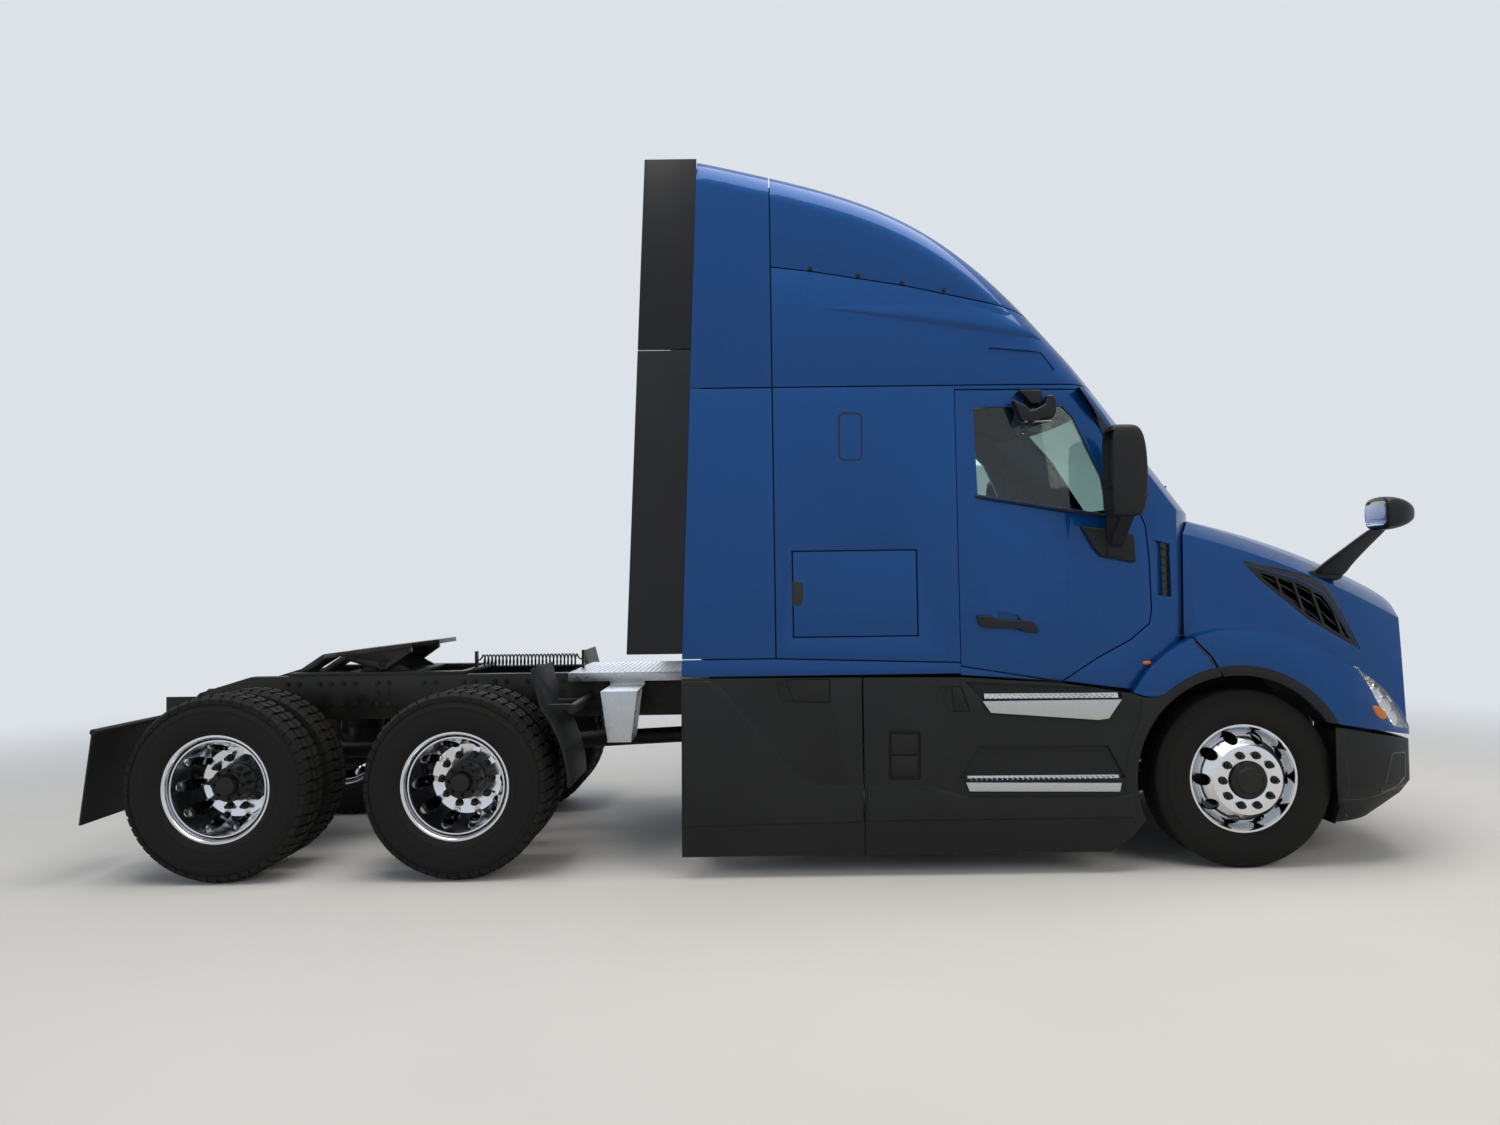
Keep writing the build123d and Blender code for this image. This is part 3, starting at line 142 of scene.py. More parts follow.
def shades(tree, factor, low, high, start=0.3, end=0.7):
    ramp = add_node(tree, "ShaderNodeValToRGB", {"Fac": factor})
    ramp.color_ramp.elements[0].position = start
    ramp.color_ramp.elements[0].color = low
    ramp.color_ramp.elements[1].position = end
    ramp.color_ramp.elements[1].color = high
    return ramp


def grey(value):
    return (value, value, value, 1.0)


def worn_finish(name, colour, other, rough, rough_spread, patch, grain=0.0, depth=0.0, metallic=0.0,
                coat=0.0, coat_rough=0.03, specular=0.5):
    # Two near colours in patches, roughness that varies with them, and a fine grain as bump
    material, tree = new_material(name)
    patches = blotches(tree, patch)
    tint = shades(tree, patches.outputs["Fac"], linear(colour), linear(other))
    gloss = shades(tree, patches.outputs["Fac"], grey(rough - rough_spread), grey(rough + rough_spread))
    inputs = {"Base Color": tint.outputs["Color"], "Roughness": gloss.outputs["Color"],
              "Metallic": metallic, "Coat Weight": coat, "Coat Roughness": coat_rough}
    if not metallic:
        inputs["Specular IOR Level"] = specular
    if grain:
        fine = blotches(tree, grain, 2.0)
        bump = add_node(tree, "ShaderNodeBump", {"Height": fine.outputs["Fac"], "Strength": 0.5,
                                                 "Distance": depth})
        inputs["Normal"] = bump.outputs["Normal"]
    shader = add_node(tree, "ShaderNodeBsdfPrincipled", inputs)
    close_material(tree, shader.outputs["BSDF"])
    return material


# %% [markdown]
# The body is steel and moulded panel in metallic blue basecoat under clear lacquer. Aluminium flakes in the
# basecoat brighten it where the light falls, and the lacquer mirrors the sky sharply. So the shader is half
# metallic with a full coat, and a fine noise varies the flakes; real ones are 0.05 mm, drawn at 2 mm.

# %% Paint
blue_paint, paint_tree = new_material("metallic_blue_basecoat_under_lacquer")
flakes = blotches(paint_tree, 500, 1.0)
flake_tint = shades(paint_tree, flakes.outputs["Fac"], linear("#0a386d"), linear("#0f4a89"))
paint_shader = add_node(paint_tree, "ShaderNodeBsdfPrincipled", {
    "Base Color": flake_tint.outputs["Color"], "Metallic": 0.5, "Roughness": 0.38, "Specular IOR Level": 0.0,
    "Coat Weight": 0.5, "Coat Roughness": 0.02})
close_material(paint_tree, paint_shader.outputs["BSDF"])

# %% [markdown]
# Bumper, skirts and mirror shells are moulded polypropylene with a leather-like grain about 1 mm wide.
# Wind deflectors are smoother. Frame parts are dipped in black chassis paint that dust has dulled.

# %% Plastics, rubber and chassis paint
grained_plastic = worn_finish("moulded_polypropylene", "#151617", "#1b1c1d", 0.55, 0.05, 3, 900, 0.0006,
                               specular=0.25)
smooth_plastic = worn_finish("satin_black_panel", "#0d0f13", "#12151a", 0.38, 0.05, 2, 400, 0.0002,
                              specular=0.3)
gloss_plastic = worn_finish("gloss_black_abs", "#0c0d0f", "#101113", 0.12, 0.03, 4)
chassis_paint = worn_finish("black_chassis_paint", "#111213", "#1f1e1a", 0.48, 0.12, 9, 250, 0.0006,
                              specular=0.3)
cast_steel = worn_finish("painted_cast_steel", "#141516", "#24231f", 0.5, 0.12, 14, 180, 0.0012,
                         specular=0.3)
greased_steel = worn_finish("greased_steel_plate", "#1d1c1a", "#3a3936", 0.34, 0.1, 10, 120, 0.0008,
                            metallic=0.6)
tyre_rubber = worn_finish("vulcanised_tyre_rubber", "#141414", "#1c1b1a", 0.78, 0.08, 12, 500, 0.0005,
                          specular=0.2)
black_nuts = worn_finish("phosphated_steel_nuts", "#141414", "#242322", 0.42, 0.08, 60, metallic=0.5)
hose_black = worn_finish("coiled_nylon_line", "#101112", "#17181a", 0.3, 0.05, 20)
cabin_plastic = worn_finish("grained_cabin_plastic", "#3a3b3d", "#434446", 0.6, 0.05, 5, 700, 0.0005)
cabin_dark = worn_finish("dark_cabin_plastic", "#1d1e20", "#242527", 0.55, 0.05, 5, 700, 0.0005)

# %% [markdown]
# Wheels and steps are forged aluminium. Polished, it is a mirror with faint turning marks; on the
# deck it is mill-finished and scuffed. A metal's colour is its reflection, so metallic is 1.

# %% Metals


def polished_metal(name, colour, rough, streaks, depth):
    material, tree = new_material(name)
    place = add_node(tree, "ShaderNodeTexCoord")
    marks = add_node(tree, "ShaderNodeTexNoise", {"Vector": place.outputs["Object"], "Scale": streaks,
                                                  "Detail": 4.0})
    gloss = shades(tree, marks.outputs["Fac"], grey(rough * 0.7), grey(rough * 1.5))
    bump = add_node(tree, "ShaderNodeBump", {"Height": marks.outputs["Fac"], "Strength": 0.3,
                                             "Distance": depth})
    shader = add_node(tree, "ShaderNodeBsdfPrincipled", {
        "Base Color": linear(colour), "Metallic": 1.0, "Roughness": gloss.outputs["Color"],
        "Normal": bump.outputs["Normal"]})
    close_material(tree, shader.outputs["BSDF"])
    return material


polished_aluminium = polished_metal("polished_forged_aluminium", "#dcdee2", 0.13, 30, 0.0002)
mill_aluminium = polished_metal("mill_finished_aluminium", "#b9bcc0", 0.34, 60, 0.0004)
mirror_silver = polished_metal("silvered_mirror", "#e8eaec", 0.02, 2, 0.0)

# %% [markdown]
# Glass and lamp lenses let light through. Cab glass is laminated, tinted a little green and about 6 mm
# thick; lenses are polycarbonate, clear over the lamps and coloured through for signals.

# %% Glass and lenses


def see_through(name, colour, rough, ior, weight=1.0):
    material, tree = new_material(name)
    smear = blotches(tree, 6)
    gloss = shades(tree, smear.outputs["Fac"], grey(rough), grey(rough + 0.03))
    shader = add_node(tree, "ShaderNodeBsdfPrincipled", {
        "Base Color": linear(colour), "Roughness": gloss.outputs["Color"], "IOR": ior,
        "Transmission Weight": weight})
    close_material(tree, shader.outputs["BSDF"])
    return material


tinted_glass = see_through("tinted_laminated_glass", "#b9cdc8", 0.0, 1.45)

# The windscreen's rim is printed black to hide its bond; the print follows the glass's trapezoid
windscreen_glass, border_tree = new_material("tinted_windscreen_with_black_border")
border_place = add_node(border_tree, "ShaderNodeTexCoord")
border_axes = add_node(border_tree, "ShaderNodeSeparateXYZ", {"Vector": border_place.outputs["Object"]})
border_width = add_node(border_tree, "ShaderNodeMath", {0: border_axes.outputs["Y"]}, operation="ABSOLUTE")
border_lean = add_node(border_tree, "ShaderNodeMath", {0: border_axes.outputs["Z"], 1: 0.146, 2: 1.083},
                       operation="MULTIPLY_ADD")
border_edge = add_node(border_tree, "ShaderNodeMath", {0: border_width.outputs["Value"],
                                                       1: border_lean.outputs["Value"]}, operation="ADD")
border_side = add_node(border_tree, "ShaderNodeMath", {0: border_edge.outputs["Value"], 1: 2.172},
                       operation="GREATER_THAN")
border_foot = add_node(border_tree, "ShaderNodeMath", {0: border_axes.outputs["Z"], 1: 2.130},
                       operation="LESS_THAN")
border_head = add_node(border_tree, "ShaderNodeMath", {0: border_axes.outputs["Z"], 1: 2.690},
                       operation="GREATER_THAN")
border_ends = add_node(border_tree, "ShaderNodeMath", {0: border_foot.outputs["Value"],
                                                       1: border_head.outputs["Value"]}, operation="MAXIMUM")
border_mask = add_node(border_tree, "ShaderNodeMath", {0: border_side.outputs["Value"],
                                                       1: border_ends.outputs["Value"]}, operation="MAXIMUM")
border_clear = add_node(border_tree, "ShaderNodeMath", {0: 1.0, 1: border_mask.outputs["Value"]},
                        operation="SUBTRACT")
border_tint = shades(border_tree, border_mask.outputs["Value"], linear("#b9cdc8"), linear("#0b0c0d"))
border_shader = add_node(border_tree, "ShaderNodeBsdfPrincipled", {
    "Base Color": border_tint.outputs["Color"], "Roughness": 0.03, "IOR": 1.45,
    "Transmission Weight": border_clear.outputs["Value"]})
close_material(border_tree, border_shader.outputs["BSDF"])

clear_lens = see_through("clear_polycarbonate", "#eef2f4", 0.02, 1.5, 0.9)
amber_lens = see_through("amber_polycarbonate", "#e0780a", 0.15, 1.5, 0.3)
red_lens = see_through("red_polycarbonate", "#a80f12", 0.15, 1.5, 0.3)

# %% [markdown]
# Seats are covered in woven cloth. Two crossed bands of waves give the weave; threads are 1 mm
# apart on the real cloth and 3 mm here, so that they show.

# %% Seat cloth
THREADS_PER_METRE = 330
seat_cloth, cloth_tree = new_material("woven_polyester_cloth")
cloth_place = add_node(cloth_tree, "ShaderNodeTexCoord")
weft = add_node(cloth_tree, "ShaderNodeTexWave", {"Vector": cloth_place.outputs["Object"],
                                                  "Scale": THREADS_PER_METRE / 6.283}, bands_direction="Y")
warp = add_node(cloth_tree, "ShaderNodeTexWave", {"Vector": cloth_place.outputs["Object"],
                                                  "Scale": THREADS_PER_METRE / 6.283}, bands_direction="Z")
weave = add_node(cloth_tree, "ShaderNodeMath", {0: weft.outputs["Fac"], 1: warp.outputs["Fac"]},
                 operation="MULTIPLY")
cloth_tint = shades(cloth_tree, weave.outputs["Value"], linear("#26282c"), linear("#3b3e44"), 0.0, 1.0)
cloth_bump = add_node(cloth_tree, "ShaderNodeBump", {"Height": weave.outputs["Value"], "Strength": 0.4,
                                                     "Distance": 0.001})
cloth_shader = add_node(cloth_tree, "ShaderNodeBsdfPrincipled", {
    "Base Color": cloth_tint.outputs["Color"], "Roughness": 0.85, "Sheen Weight": 0.3,
    "Normal": cloth_bump.outputs["Normal"]})
close_material(cloth_tree, cloth_shader.outputs["BSDF"])
# The record names a finish for each node; these are the same finishes under its names
SLOTS = {name: slot for slot, names in {
    "blue_paint": ["metallic_blue_basecoat_under_lacquer"],
    "black_plastic": ["moulded_polypropylene", "satin_black_panel"],
    "gloss_black": ["gloss_black_abs"],
    "chassis_black": ["black_chassis_paint", "phosphated_steel_nuts"],
    "cast_steel": ["painted_cast_steel", "greased_steel_plate"],
    "tyre_rubber": ["vulcanised_tyre_rubber"],
    "hose_rubber": ["coiled_nylon_line"],
    "cabin_plastic": ["grained_cabin_plastic", "dark_cabin_plastic"],
    "bright_aluminium": ["polished_forged_aluminium", "mill_finished_aluminium", "silvered_mirror"],
    "clear_glass": ["tinted_laminated_glass", "tinted_windscreen_with_black_border"],
    "lamp_lens": ["clear_polycarbonate", "amber_polycarbonate"],
    "red_lens": ["red_polycarbonate"],
    "seat_cloth": ["woven_polyester_cloth"]}.items() for name in names}
print("materials", len(bpy.data.materials))

# %% [markdown]
# Every piece below ends as a plain mesh with its place in its vertices. These helpers turn lists of
# points into such meshes, finish them with modifiers, and mark which edges stay sharp.

# %% Helpers for meshes


def mesh_object(name, verts, faces):
    mesh = bpy.data.meshes.new(name)
    mesh.from_pydata([tuple(v) for v in verts], [], faces)
    thing = bpy.data.objects.new(name, mesh)
    bpy.context.scene.collection.objects.link(thing)
    return thing


def clean(thing, merge=0.00002):
    work = bmesh.new()
    work.from_mesh(thing.data)
    bmesh.ops.remove_doubles(work, verts=work.verts, dist=merge)
    bmesh.ops.recalc_face_normals(work, faces=work.faces)
    work.to_mesh(thing.data)
    work.free()
    return thing


def soft_edges(thing, angle=35):
    # Faces shade smoothly, apart from edges that turn by more than the angle
    work = bmesh.new()
    work.from_mesh(thing.data)
    for face in work.faces:
        face.smooth = True
    for edge in work.edges:
        turned = edge.calc_face_angle(math.pi) if len(edge.link_faces) == 2 else math.pi
        edge.smooth = turned < math.radians(angle)
    work.to_mesh(thing.data)
    work.free()
    return thing


def settle(thing):
    # Replaces live modifiers by their result
    graph = bpy.context.evaluated_depsgraph_get()
    done = bpy.data.meshes.new_from_object(thing.evaluated_get(graph))
    thing.modifiers.clear()
    old = thing.data
    thing.data = done
    done.name = old.name
    bpy.data.meshes.remove(old)
    return thing


def bevelled(thing, width, segments=2, angle=30):
    bevel = thing.modifiers.new("edges", "BEVEL")
    bevel.width = width
    bevel.segments = segments
    bevel.limit_method = "ANGLE"
    bevel.angle_limit = math.radians(angle)
    bevel.use_clamp_overlap = True
    return settle(thing)


def cut(thing, cutter, operation="DIFFERENCE"):
    boolean = thing.modifiers.new("cut", "BOOLEAN")
    boolean.object = cutter
    boolean.operation = operation
    boolean.solver = "EXACT"
    settle(thing)
    bpy.data.objects.remove(cutter)
    return thing


def joined(name, things):
    work = bmesh.new()
    for thing in things:
        work.from_mesh(thing.data)
    mesh = bpy.data.meshes.new(name)
    work.to_mesh(mesh)
    work.free()
    for thing in things:
        bpy.data.objects.remove(thing)
    result = bpy.data.objects.new(name, mesh)
    bpy.context.scene.collection.objects.link(result)
    return result


def copied(thing, name, move=(0, 0, 0), flip=False):
    # A copy carried along, or mirrored to the truck's other side with its faces turned back out
    twin = thing.copy()
    twin.data = thing.data.copy()
    twin.name = twin.data.name = name
    bpy.context.scene.collection.objects.link(twin)
    twin.data.transform(Matrix.Translation(Vector(move)))
    if flip:
        twin.data.transform(Matrix.Scale(-1, 4, Vector((0, 1, 0))))
        twin.data.flip_normals()
    return twin


def dress(thing, material, body, *nodes):
    # The piece gets its finish, rides on its body and stands for the solids named
    thing.data.materials.clear()
    thing.data.materials.append(material)
    if thing.type == "MESH":
        for face in thing.data.polygons:
            face.material_index = 0
    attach(thing, body)
    if nodes:
        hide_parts(*nodes)
    return thing


def block(name, centre, size):
    # A box by its centre and size
    cx, cy, cz = centre
    dx, dy, dz = (s / 2 for s in size)
    verts = [(cx + a * dx, cy + b * dy, cz + c * dz) for a in (-1, 1) for b in (-1, 1) for c in (-1, 1)]
    return clean(mesh_object(name, verts, [(0, 1, 3, 2), (4, 6, 7, 5), (0, 4, 5, 1), (2, 3, 7, 6),
                                           (0, 2, 6, 4), (1, 5, 7, 3)]))


def side_slab(name, outline, y_from, y_to):
    # A side-view outline of stations and heights, carried from one width to another
    count = len(outline)
    verts = [at(x, y, z) for y in (y_from, y_to) for x, z in outline]
    faces = [tuple(range(count)), tuple(range(2 * count - 1, count - 1, -1))]
    faces += [(i, i + count, (i + 1) % count + count, (i + 1) % count) for i in range(count)]
    return clean(mesh_object(name, verts, faces))


def turned(name, profile, centre, steps=96, outward=1):
    # A profile of radius and outward offset, spun round an axle along Y
    cx, cy, cz = centre
    count = len(profile)
    verts = []
    for step in range(steps):
        angle = 2 * math.pi * step / steps
        for radius, offset in profile:
            verts.append((cx + radius * math.cos(angle), cy + outward * offset, cz + radius * math.sin(angle)))
    faces = []
    for step in range(steps):
        here, there = step * count, ((step + 1) % steps) * count
        for i in range(count):
            j = (i + 1) % count
            faces.append((here + i, here + j, there + j, there + i))
    return clean(mesh_object(name, verts, faces))


def rod(name, start, end, radius, sides=16, end_radius=None):
    # A round bar from one point to another
    start, end = Vector(start), Vector(end)
    axis = (end - start).normalized()
    across = axis.orthogonal().normalized()
    other = axis.cross(across)
    verts = []
    for centre, r in ((start, radius), (end, radius if end_radius is None else end_radius)):
        for i in range(sides):
            angle = 2 * math.pi * i / sides
            verts.append(centre + r * (across * math.cos(angle) + other * math.sin(angle)))
    faces = [tuple(range(sides)), tuple(range(2 * sides - 1, sides - 1, -1))]
    faces += [(i, i + sides, (i + 1) % sides + sides, (i + 1) % sides) for i in range(sides)]
    return clean(mesh_object(name, verts, faces))


def rounded(corners, radius, steps=4):
    # A polygon with each corner replaced by a small arc
    points = []
    count = len(corners)
    for i in range(count):
        here = Vector(corners[i])
        back = (Vector(corners[i - 1]) - here).normalized()
        on = (Vector(corners[(i + 1) % count]) - here).normalized()
        angle = back.angle(on)
        reach = radius / math.tan(angle / 2)
        centre = here + (back + on).normalized() * (radius / math.sin(angle / 2))
        first, last = here + back * reach - centre, here + on * reach - centre
        for step in range(steps + 1):
            share = step / steps
            arm = (first * (1 - share) + last * share).normalized() * radius
            points.append(tuple(centre + arm))
    return points


def rounded_form(name, rings, levels=2):
    # Closed loops of points joined in turn and capped, then smoothed as a subdivision surface
    count = len(rings[0])
    verts = [point for ring in rings for point in ring]
    faces = [tuple(range(count)), tuple(range(len(verts) - 1, len(verts) - count - 1, -1))]
    for ring in range(len(rings) - 1):
        for i in range(count):
            j = (i + 1) % count
            faces.append((ring * count + i, ring * count + count + i, ring * count + count + j, ring * count + j))
    thing = clean(mesh_object(name, verts, faces))
    if levels:
        smooth = thing.modifiers.new("smooth", "SUBSURF")
        smooth.levels = smooth.render_levels = levels
        settle(thing)
    return soft_edges(thing, 60)


# %% [markdown]
# Much of a truck repeats: wheel nuts, tread blocks, bolts, the holes of a step. Two small Geometry Nodes
# trees make the repeats. The first turns copies of a piece round an axle; the second sets one piece at
# each point of a cloud. Both end as real geometry with a material, because an export drops instances.

# %% Geometry Nodes trees


def node_tree(name, sockets):
    tree = bpy.data.node_groups.new(name, "GeometryNodeTree")
    tree.interface.new_socket("Geometry", in_out="INPUT", socket_type="NodeSocketGeometry")
    for label, kind in sockets:
        tree.interface.new_socket(label, in_out="INPUT", socket_type=kind)
    tree.interface.new_socket("Geometry", in_out="OUTPUT", socket_type="NodeSocketGeometry")
    return tree, add_node(tree, "NodeGroupInput").outputs


ring_tree, ring_in = node_tree("ring_of_copies", (
    ("Count", "NodeSocketInt"), ("Centre", "NodeSocketVector"), ("Material", "NodeSocketMaterial")))
ring_points = add_node(ring_tree, "GeometryNodePoints", {"Count": ring_in["Count"],
                                                         "Position": ring_in["Centre"]})
ring_index = add_node(ring_tree, "GeometryNodeInputIndex")
ring_step = add_node(ring_tree, "ShaderNodeMath", {0: 2 * math.pi, 1: ring_in["Count"]}, operation="DIVIDE")
ring_angle = add_node(ring_tree, "ShaderNodeMath", {0: ring_index.outputs["Index"],
                                                    1: ring_step.outputs["Value"]}, operation="MULTIPLY")
ring_turn = add_node(ring_tree, "ShaderNodeCombineXYZ", {"Y": ring_angle.outputs["Value"]})
ring_copies = add_node(ring_tree, "GeometryNodeInstanceOnPoints", {
    "Points": ring_points.outputs["Geometry"], "Instance": ring_in["Geometry"],
    "Rotation": ring_turn.outputs["Vector"]})
ring_real = add_node(ring_tree, "GeometryNodeRealizeInstances", {
    "Geometry": ring_copies.outputs["Instances"]})
ring_done = add_node(ring_tree, "GeometryNodeSetMaterial", {
    "Geometry": ring_real.outputs["Geometry"], "Material": ring_in["Material"]})
add_node(ring_tree, "NodeGroupOutput", {"Geometry": ring_done.outputs["Geometry"]})

cloud_tree, cloud_in = node_tree("piece_at_each_point", (
    ("Piece", "NodeSocketObject"), ("Material", "NodeSocketMaterial")))
cloud_piece = add_node(cloud_tree, "GeometryNodeObjectInfo", {"Object": cloud_in["Piece"]})
cloud_copies = add_node(cloud_tree, "GeometryNodeInstanceOnPoints", {
    "Points": cloud_in["Geometry"], "Instance": cloud_piece.outputs["Geometry"]})
cloud_real = add_node(cloud_tree, "GeometryNodeRealizeInstances", {
    "Geometry": cloud_copies.outputs["Instances"]})
cloud_done = add_node(cloud_tree, "GeometryNodeSetMaterial", {
    "Geometry": cloud_real.outputs["Geometry"], "Material": cloud_in["Material"]})
add_node(cloud_tree, "NodeGroupOutput", {"Geometry": cloud_done.outputs["Geometry"]})


def grow(thing, tree, **values):
    # Runs a tree on a piece, with its inputs set by identifier, and keeps the result as a mesh
    modifier = thing.modifiers.new("nodes", "NODES")
    modifier.node_group = tree
    for socket in tree.interface.items_tree:
        if socket.in_out == "INPUT" and socket.name in values:
            modifier[socket.identifier] = values[socket.name]
    return settle(thing)


def ring_of(thing, count, centre, material):
    # The piece is made round the origin; its copies go round an axle through the centre
    return grow(thing, ring_tree, Count=count, Centre=tuple(centre), Material=material)


def at_points(name, piece, points, material):
    cloud = mesh_object(name, points, [])
    grow(cloud, cloud_tree, Piece=piece, Material=material)
    bpy.data.objects.remove(piece)
    return cloud


print("node trees", [tree.name for tree in bpy.data.node_groups])

# %% [markdown]
# The steered tyres have five ribs between straight grooves; the driven tyres carry blocks whose outer ends
# notch the shoulder. A tyre is a profile spun round its axle. Its tread blocks are one set of four,
# repeated by the ring tree. Raised rings on the sidewall catch the light as on the real one.

# %% Tyres
SEAT_RADIUS = 0.2861
FLANGE_RADIUS = 0.3003


def sidewall(crown, shoulder_width):
    # From the bead up to the shoulder, as radius and offset, with two moulded rings
    tall = crown - SEAT_RADIUS
    return [(SEAT_RADIUS, 0.1036), (FLANGE_RADIUS, 0.1086), (FLANGE_RADIUS, 0.116), (0.312, 0.129),
            (SEAT_RADIUS + tall * 0.20, 0.1415), (SEAT_RADIUS + tall * 0.22, 0.1440),
            (SEAT_RADIUS + tall * 0.25, 0.1445), (SEAT_RADIUS + tall * 0.26, 0.1430),
            (SEAT_RADIUS + tall * 0.36, 0.1485), (SEAT_RADIUS + tall * 0.48, 0.1485),
            (SEAT_RADIUS + tall * 0.60, 0.1455), (SEAT_RADIUS + tall * 0.66, 0.1435),
            (SEAT_RADIUS + tall * 0.675, 0.1448), (SEAT_RADIUS + tall * 0.70, 0.1440),
            (SEAT_RADIUS + tall * 0.71, 0.1410), (SEAT_RADIUS + tall * 0.83, 0.1300),
            (SEAT_RADIUS + tall * 0.93, shoulder_width + 0.006)]


def tyre_from(name, half, steps):
    return turned(name, half + [(r, -w) for r, w in reversed(half)], (0, 0, 0), steps)


GROOVE_DEPTH = 0.013
groove_floor = FRONT_RADIUS - GROOVE_DEPTH
rib_half = sidewall(FRONT_RADIUS, 0.116) + [
    (FRONT_RADIUS - 0.005, 0.114), (FRONT_RADIUS - 0.002, 0.107), (FRONT_RADIUS - 0.001, 0.080),
    (groove_floor, 0.078), (groove_floor, 0.070), (FRONT_RADIUS - 0.0008, 0.068),
    (FRONT_RADIUS - 0.0005, 0.030), (groove_floor, 0.028), (groove_floor, 0.020), (FRONT_RADIUS - 0.0003, 0.018)]
steer_tyre = soft_edges(tyre_from("steer_tyre", rib_half, 120), 30)

BLOCK_COUNT = 52
BLOCK_ROWS = ((-0.135, -0.078, 0.006), (-0.070, -0.006, -0.005), (0.006, 0.070, 0.005), (0.078, 0.135, -0.006))
BLOCK_BASE = 0.504
base_half = sidewall(REAR_RADIUS - 0.012, 0.118) + [(BLOCK_BASE, 0.112), (BLOCK_BASE + 0.001, 0.04)]
drive_casing = soft_edges(tyre_from("drive_casing", base_half, 120), 30)


def tread_set():
    # Four blocks across the tread at the top of the tyre; the outer two run down over the shoulder
    half_length = math.pi * REAR_RADIUS / BLOCK_COUNT * 0.80
    blocks = []
    for low, high, slant in BLOCK_ROWS:
        verts = []
        for lift, narrow in ((BLOCK_BASE - 0.010, 0.0), (REAR_RADIUS - 0.0008, 0.003)):
            for y, lean in ((low + narrow, slant), (high - narrow, -slant)):
                drop = 0.020 if abs(y) > 0.13 else 0.0
                top = math.sqrt((lift - drop) ** 2 - half_length ** 2)
                verts.append((-half_length + narrow + lean, y, top))
                verts.append((half_length - narrow + lean, y, top))
        blocks.append(mesh_object("block", verts, [(0, 1, 3, 2), (4, 6, 7, 5), (0, 4, 5, 1), (1, 5, 7, 3),
                                                   (3, 7, 6, 2), (2, 6, 4, 0)]))
    return clean(joined("tread_set", blocks))


tread_ring = soft_edges(ring_of(tread_set(), BLOCK_COUNT, (0, 0, 0), tyre_rubber), 30)
drive_tyre = joined("drive_tyre", [drive_casing, tread_ring])
print("steer tyre faces", len(steer_tyre.data.polygons), "drive tyre faces", len(drive_tyre.data.polygons))
for side, sign in SIDES:
    dress(copied(steer_tyre, f"steer_tyre_{side}", at(0, sign * FRONT_TYRE_Y, FRONT_RADIUS)), tyre_rubber,
          f"front_wheel_{side}", f"front_tyre_{side}")
    for axle, station in DRIVE_AXLES:
        pair = [copied(drive_tyre, "one", at(station, sign * (DUAL_Y + k * DUAL_SPACING / 2), REAR_RADIUS))
                for k in (-1, 1)]
        dress(joined(f"{axle}_twin_tyres_{side}", pair), tyre_rubber, f"{axle}_wheels_{side}",
              f"{axle}_tyres_{side}")
for used in (steer_tyre, drive_tyre):
    bpy.data.objects.remove(used)

# %% [markdown]
# The wheels are forged aluminium discs with ten hand holes. The front disc bulges outwards, the outer
# rear disc is a deep dish, and the inner rear wheel is the same wheel turned round. Each is a spun
# profile with its holes cut by a ring of round cutters. Nuts, studs and the dark hub are separate pieces.

# %% Wheels and hubs
HOLE_COUNT = 10
HOLE_RADIUS = 0.0335
STUD_CIRCLE = 0.142875
NUT_SIZE = 0.0185
BARREL = [(0.300, 0.1178), (0.3000, 0.1092), (0.2935, 0.1060), (0.2858, 0.1035), (0.2858, 0.062),
          (0.266, 0.042), (0.262, 0.030), (0.262, -0.030), (0.266, -0.042), (0.2858, -0.062),
          (0.2858, -0.1035), (0.2935, -0.1060), (0.3000, -0.1092), (0.300, -0.1178), (0.290, -0.1178),
          (0.284, -0.110), (0.276, -0.100), (0.258, -0.070), (0.253, -0.040), (0.251, 0.0), (0.252, 0.040),
          (0.262, 0.056), (0.274, 0.070), (0.280, 0.100), (0.284, 0.112), (0.290, 0.1178)]
FRONT_DISC = [(0.262, 0.040), (0.256, 0.070), (0.244, 0.092), (0.222, 0.120), (0.204, 0.140), (0.186, 0.150),
              (0.106, 0.150), (0.106, 0.1715), (0.186, 0.1715), (0.192, 0.1700), (0.197, 0.1640),
              (0.214, 0.1515), (0.236, 0.1270), (0.254, 0.1020), (0.267, 0.0760), (0.270, 0.050)]
REAR_DISC = [(0.262, 0.090), (0.254, 0.050), (0.240, 0.010), (0.224, -0.050), (0.210, -0.100),
             (0.199, -0.149), (0.106, -0.149), (0.106, -0.1710), (0.200, -0.1710), (0.208, -0.1680),
             (0.216, -0.158), (0.226, -0.120), (0.240, -0.050), (0.254, 0.010), (0.266, 0.060), (0.270, 0.090)]


def hole_ring(count, radius, circle):
    # A ring of round cutters along Y through the origin's axle
    cutter = rod("cutter", (circle, -0.4, 0), (circle, 0.4, 0), radius, 28)
    return ring_of(cutter, count, (0, 0, 0), polished_aluminium)


def forged_wheel(name, disc, hole_circle):
    plate = turned(name, disc, (0, 0, 0), 160)
    cut(plate, hole_ring(HOLE_COUNT, HOLE_RADIUS, hole_circle))
    barrel = turned("barrel", BARREL, (0, 0, 0), 160)
    return joined(name, [soft_edges(bevelled(plate, 0.0016, 2, 40), 30), soft_edges(barrel, 30)])


